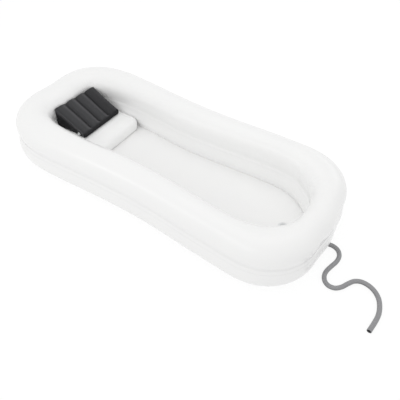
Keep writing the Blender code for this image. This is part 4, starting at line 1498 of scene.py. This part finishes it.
def pillow_row(along, inset, kept):
    """Points round the pillow at one station: the base, a side, the top, the other side.

    Over the top, height = shoulder + swell * channel_swell(across).
    """
    share = along / PILLOW_LENGTH
    draw = SIDE_DRAW * math.sin(math.pi * share) ** 2
    half = PILLOW_WIDTH / 2 - inset - draw
    low = inset
    top = height_at(along) - inset
    swell = CHANNEL_CROWN * (1 - CHANNEL_FADE * smoothstep(*CHANNEL_END, share))
    swell *= 0.5 + 0.5 * smoothstep(0, 4 * BACK_ROUND, along)
    shoulder = top - swell
    seam = shoulder + EDGE_SHARE * swell
    corner = min(BASE_ROUND, (seam - low) / 2)
    phi = np.radians(np.linspace(-90, 0, 6))
    base = np.linspace(-(half - corner), half - corner, 16)[:-1]
    base = np.column_stack([base, np.full(len(base), low)])
    bend = corner * np.column_stack([np.cos(phi), np.sin(phi)]) + [half - corner, low + corner]
    up = np.linspace(low + corner, seam, 9)[1:-1]
    bulge = SIDE_BULGE * np.sin(np.pi * (up - low) / (seam - low))
    bulge[-1] += SEAM_BEAD
    side = np.vstack([bend, np.column_stack([half + bulge, up])])
    across = np.linspace(1, -1, CHANNELS * CHANNEL_POINTS + 1)
    edge = np.clip((np.abs(across) - LIP_EDGE) / (1 - LIP_EDGE), 0, 1)
    fall = LIP_FALL * (1 - np.sqrt(1 - edge**2)) * smoothstep(*CHANNEL_END, share)
    shift = CHANNEL_SHIFT * (1 - share) * (across**2 - 1)
    over = shoulder + swell * channel_swell(across) - fall
    crown = np.column_stack([(across - shift) * half, over])
    loop = np.vstack([base, side, crown, (side * [-1, 1])[::-1]])
    middle = (low + top) / 2
    loop[:, 1] = middle + (loop[:, 1] - middle) * kept
    foot = BACK_FOOT[0] * (1 - share) ** 8 * (1 - smoothstep(0, BACK_FOOT[1], loop[:, 1]))
    lean = BACK_LEAN * (1 - share) ** 6 * smoothstep(0.5, 1.0, loop[:, 1] / PILLOW_BACK_HEIGHT)
    x = along + foot - lean + PILLOW_SKEW * (1 - share) * (loop[:, 0] / PILLOW_WIDTH + 0.5)
    near = np.clip(-loop[:, 0] / half, 0, 1) ** 3
    low_down = 1 - smoothstep(0, SPLAY_TOP * PILLOW_BACK_HEIGHT, loop[:, 1])
    splay = SIDE_SPLAY * (1 - share) ** 2 * near * low_down
    y = loop[:, 0] + PILLOW_CENTRE_Y - splay
    return np.column_stack([x + PILLOW_BACK_X, y, loop[:, 1] + PILLOW_BASE])


pillow_points = np.stack([pillow_row(*station) for station in pillow_stations()])
print("pillow surface:", pillow_points.shape[0], "rows of", pillow_points.shape[1], "points")

# %% [markdown]
# Charcoal film is painted paler where light would catch it, as a painted sheen: most on the
# far half of each channel's back and along the outer seams, less on the last channel, and
# not in the welds or on the front lip. Painting that by hand would have to be done again
# after each change of shape. A number on each point, worked out from its place, says how
# far it is painted paler.

# %% Painted sheen on the film
SHEEN_TOP = (-1.6, -0.9)
SHEEN_NEAR = (0.0, 0.4)
SHEEN_FAR = (0.55, 0.86)
SHEEN_FAR_SHARE = 0.65
SHEEN_END = (0.89, 0.98)
SHEEN_FRONT = (0.90, 0.99)
SHEEN_SEAM = (0.955, 0.975)
SHEEN_SEAM_SHARE = 0.6
SHEEN_EVERYWHERE = 0.25
LAST_CHANNEL_SHARE = 0.5


def painted_sheen(points):
    """How far each point's film is painted paler, as a sheen: 1 on a channel's back, 0 below the top.
    """
    along = points[:, 0] - PILLOW_BACK_X
    across = np.clip((points[:, 1] - PILLOW_CENTRE_Y) / (PILLOW_WIDTH / 2), -1, 1)
    below = points[:, 2] - PILLOW_BASE - height_at(along)
    on_top = smoothstep(SHEEN_TOP[0] * CHANNEL_CROWN, SHEEN_TOP[1] * CHANNEL_CROWN, below)
    place = (CHANNELS * (across + 1) / 2) % 1.0
    crest = (1 - SHEEN_FAR_SHARE) * smoothstep(*SHEEN_NEAR, place)
    crest = crest + SHEEN_FAR_SHARE * smoothstep(*SHEEN_FAR, place)
    crest *= 1 - smoothstep(*SHEEN_END, place)
    last = np.where(across > 1 - 2 / CHANNELS, LAST_CHANNEL_SHARE, 1.0)
    front = 1 - smoothstep(*SHEEN_FRONT, along / PILLOW_LENGTH)
    seam = SHEEN_SEAM_SHARE * smoothstep(*SHEEN_SEAM, np.abs(across))
    most = np.maximum(crest, seam)
    return on_top * front * last * (SHEEN_EVERYWHERE + (1 - SHEEN_EVERYWHERE) * most)


pillow = grid_piece("wedge_pillow_film", seated(pillow_points, PILLOW_SEAT, PILLOW_VALVE))
finish_piece(pillow, "pillow", film_charcoal, ["wedge_pillow"])
air_valve("pillow_valve", PILLOW_VALVE, PILLOW_SEAT, "pillow", pillow)
places = np.empty(len(pillow.data.vertices) * 3)
pillow.data.vertices.foreach_get("co", places)
# Painted sheen: how far each point's charcoal is painted paler, kept as a mesh attribute.
sheen_share = painted_sheen(places.reshape(-1, 3))
sheen_mask = pillow.data.attributes.new("painted_sheen", "FLOAT", "POINT")
sheen_mask.data.foreach_set("value", sheen_share.astype(np.float32))
print("film rubbed on", int((sheen_share > 0.5).sum()), "points of the pillow")

# %% [markdown]
# ## Ground, backdrop and light
#
# The bath stands on a big white sheet. The sheet and the backdrop are white to the camera
# by their own flat colour, so they add little light to the bath, and the sheet still
# shows the bath's soft shadow. More lamps would make them white too, but the film would
# lose its shading.

# %% Ground
FLOOR_SIZE = 40.0
EYE_SHARE = 0.86
EYE_WHITE = 1.04


def shown_to_eye(tree):
    """1 for rays from the camera and for what is seen by reflection or through glass."""
    path = add_node(tree, "ShaderNodeLightPath")
    shown = path.outputs["Is Camera Ray"]
    for kind in ("Is Glossy Ray", "Is Transmission Ray"):
        both = add_node(
            tree, "ShaderNodeMath", {"operation": "MAXIMUM"}, n0=shown, n1=path.outputs[kind]
        )
        shown = both.outputs[0]
    return both


def studio_floor():
    """A white sheet: mostly its own flat white to the camera, with the shadow kept."""
    made, tree = new_material("studio_floor_white")
    seen = shown_to_eye(tree)
    share = add_node(
        tree, "ShaderNodeMath", {"operation": "MULTIPLY"}, n0=seen.outputs[0], n1=EYE_SHARE
    )
    paper = add_node(tree, "ShaderNodeBsdfDiffuse", Color=linear("#FAFAFA"))
    bright = add_node(tree, "ShaderNodeEmission", Color=(1, 1, 1, 1), Strength=EYE_WHITE)
    both = add_node(
        tree,
        "ShaderNodeMixShader",
        n0=share.outputs[0],
        n1=paper.outputs[0],
        n2=bright.outputs[0],
    )
    surface_from(tree, both)
    size = FLOOR_SIZE / 2
    points = np.array([[-size, -size, 0], [size, -size, 0], [size, size, 0], [-size, size, 0]])
    floor = object_from("studio_floor", mesh_of("studio_floor", points, np.array([[0, 1, 2, 3]])))
    floor.data.materials.append(made)
    return floor


studio_floor()
print("ground sheet is", FLOOR_SIZE, "m wide")

# %% [markdown]
# White film needs soft light from nearly everywhere, or its shaded side goes black. So an
# even surround does most of the work, three broad lamps shape the tubes from the near
# side, the far side and above, and a small one beyond the head end gives the shadows a
# direction.

# %% Surround and lamps
SURROUND = 0.78
BATH_MIDDLE = (0, 0, 0.15)


def studio_world(strength):
    """Even white surround: full white to the camera and to reflections."""
    world = bpy.data.worlds.new("studio_surround")
    bpy.context.scene.world = world
    world.use_nodes = True
    tree = world.node_tree
    tree.nodes.clear()
    light = add_node(tree, "ShaderNodeBackground", Color=(1, 1, 1, 1), Strength=strength)
    seen = add_node(tree, "ShaderNodeBackground", Color=(1, 1, 1, 1), Strength=1.0)
    both = add_node(
        tree,
        "ShaderNodeMixShader",
        n0=shown_to_eye(tree).outputs[0],
        n1=light.outputs[0],
        n2=seen.outputs[0],
    )
    add_node(tree, "ShaderNodeOutputWorld", Surface=both.outputs[0])


def area_lamp(name, spot, aim, size, watts):
    """A rectangle that shines from a spot towards its aim."""
    lamp = bpy.data.lights.new(name, "AREA")
    lamp.shape = "RECTANGLE"
    lamp.size, lamp.size_y = size
    lamp.energy = watts
    holder = bpy.data.objects.new(name, lamp)
    bpy.context.scene.collection.objects.link(holder)
    back = (Vector(spot) - Vector(aim)).normalized()
    turn = back.to_track_quat("Z", "Y").to_matrix().to_4x4()
    holder.matrix_world = Matrix.Translation(spot) @ turn
    return holder


studio_world(SURROUND)
lamps = (
    area_lamp("key_lamp", (-1.95, -2.75, 2.2), BATH_MIDDLE, (0.5, 0.5), 3.4),
    area_lamp("front_lamp", (-0.2, -3.2, 2.9), BATH_MIDDLE, (3.2, 1.4), 12),
    area_lamp("fill_lamp", (1.0, 3.4, 1.9), BATH_MIDDLE, (2.0, 1.2), 4),
    area_lamp("top_lamp", (0.1, 0.3, 2.8), (0.1, 0.3, 0.0), (2.4, 2.4), 7.5),
)
bpy.context.scene.view_settings.view_transform = "Standard"
print("lamps:", {lamp.name: lamp.data.energy for lamp in lamps})
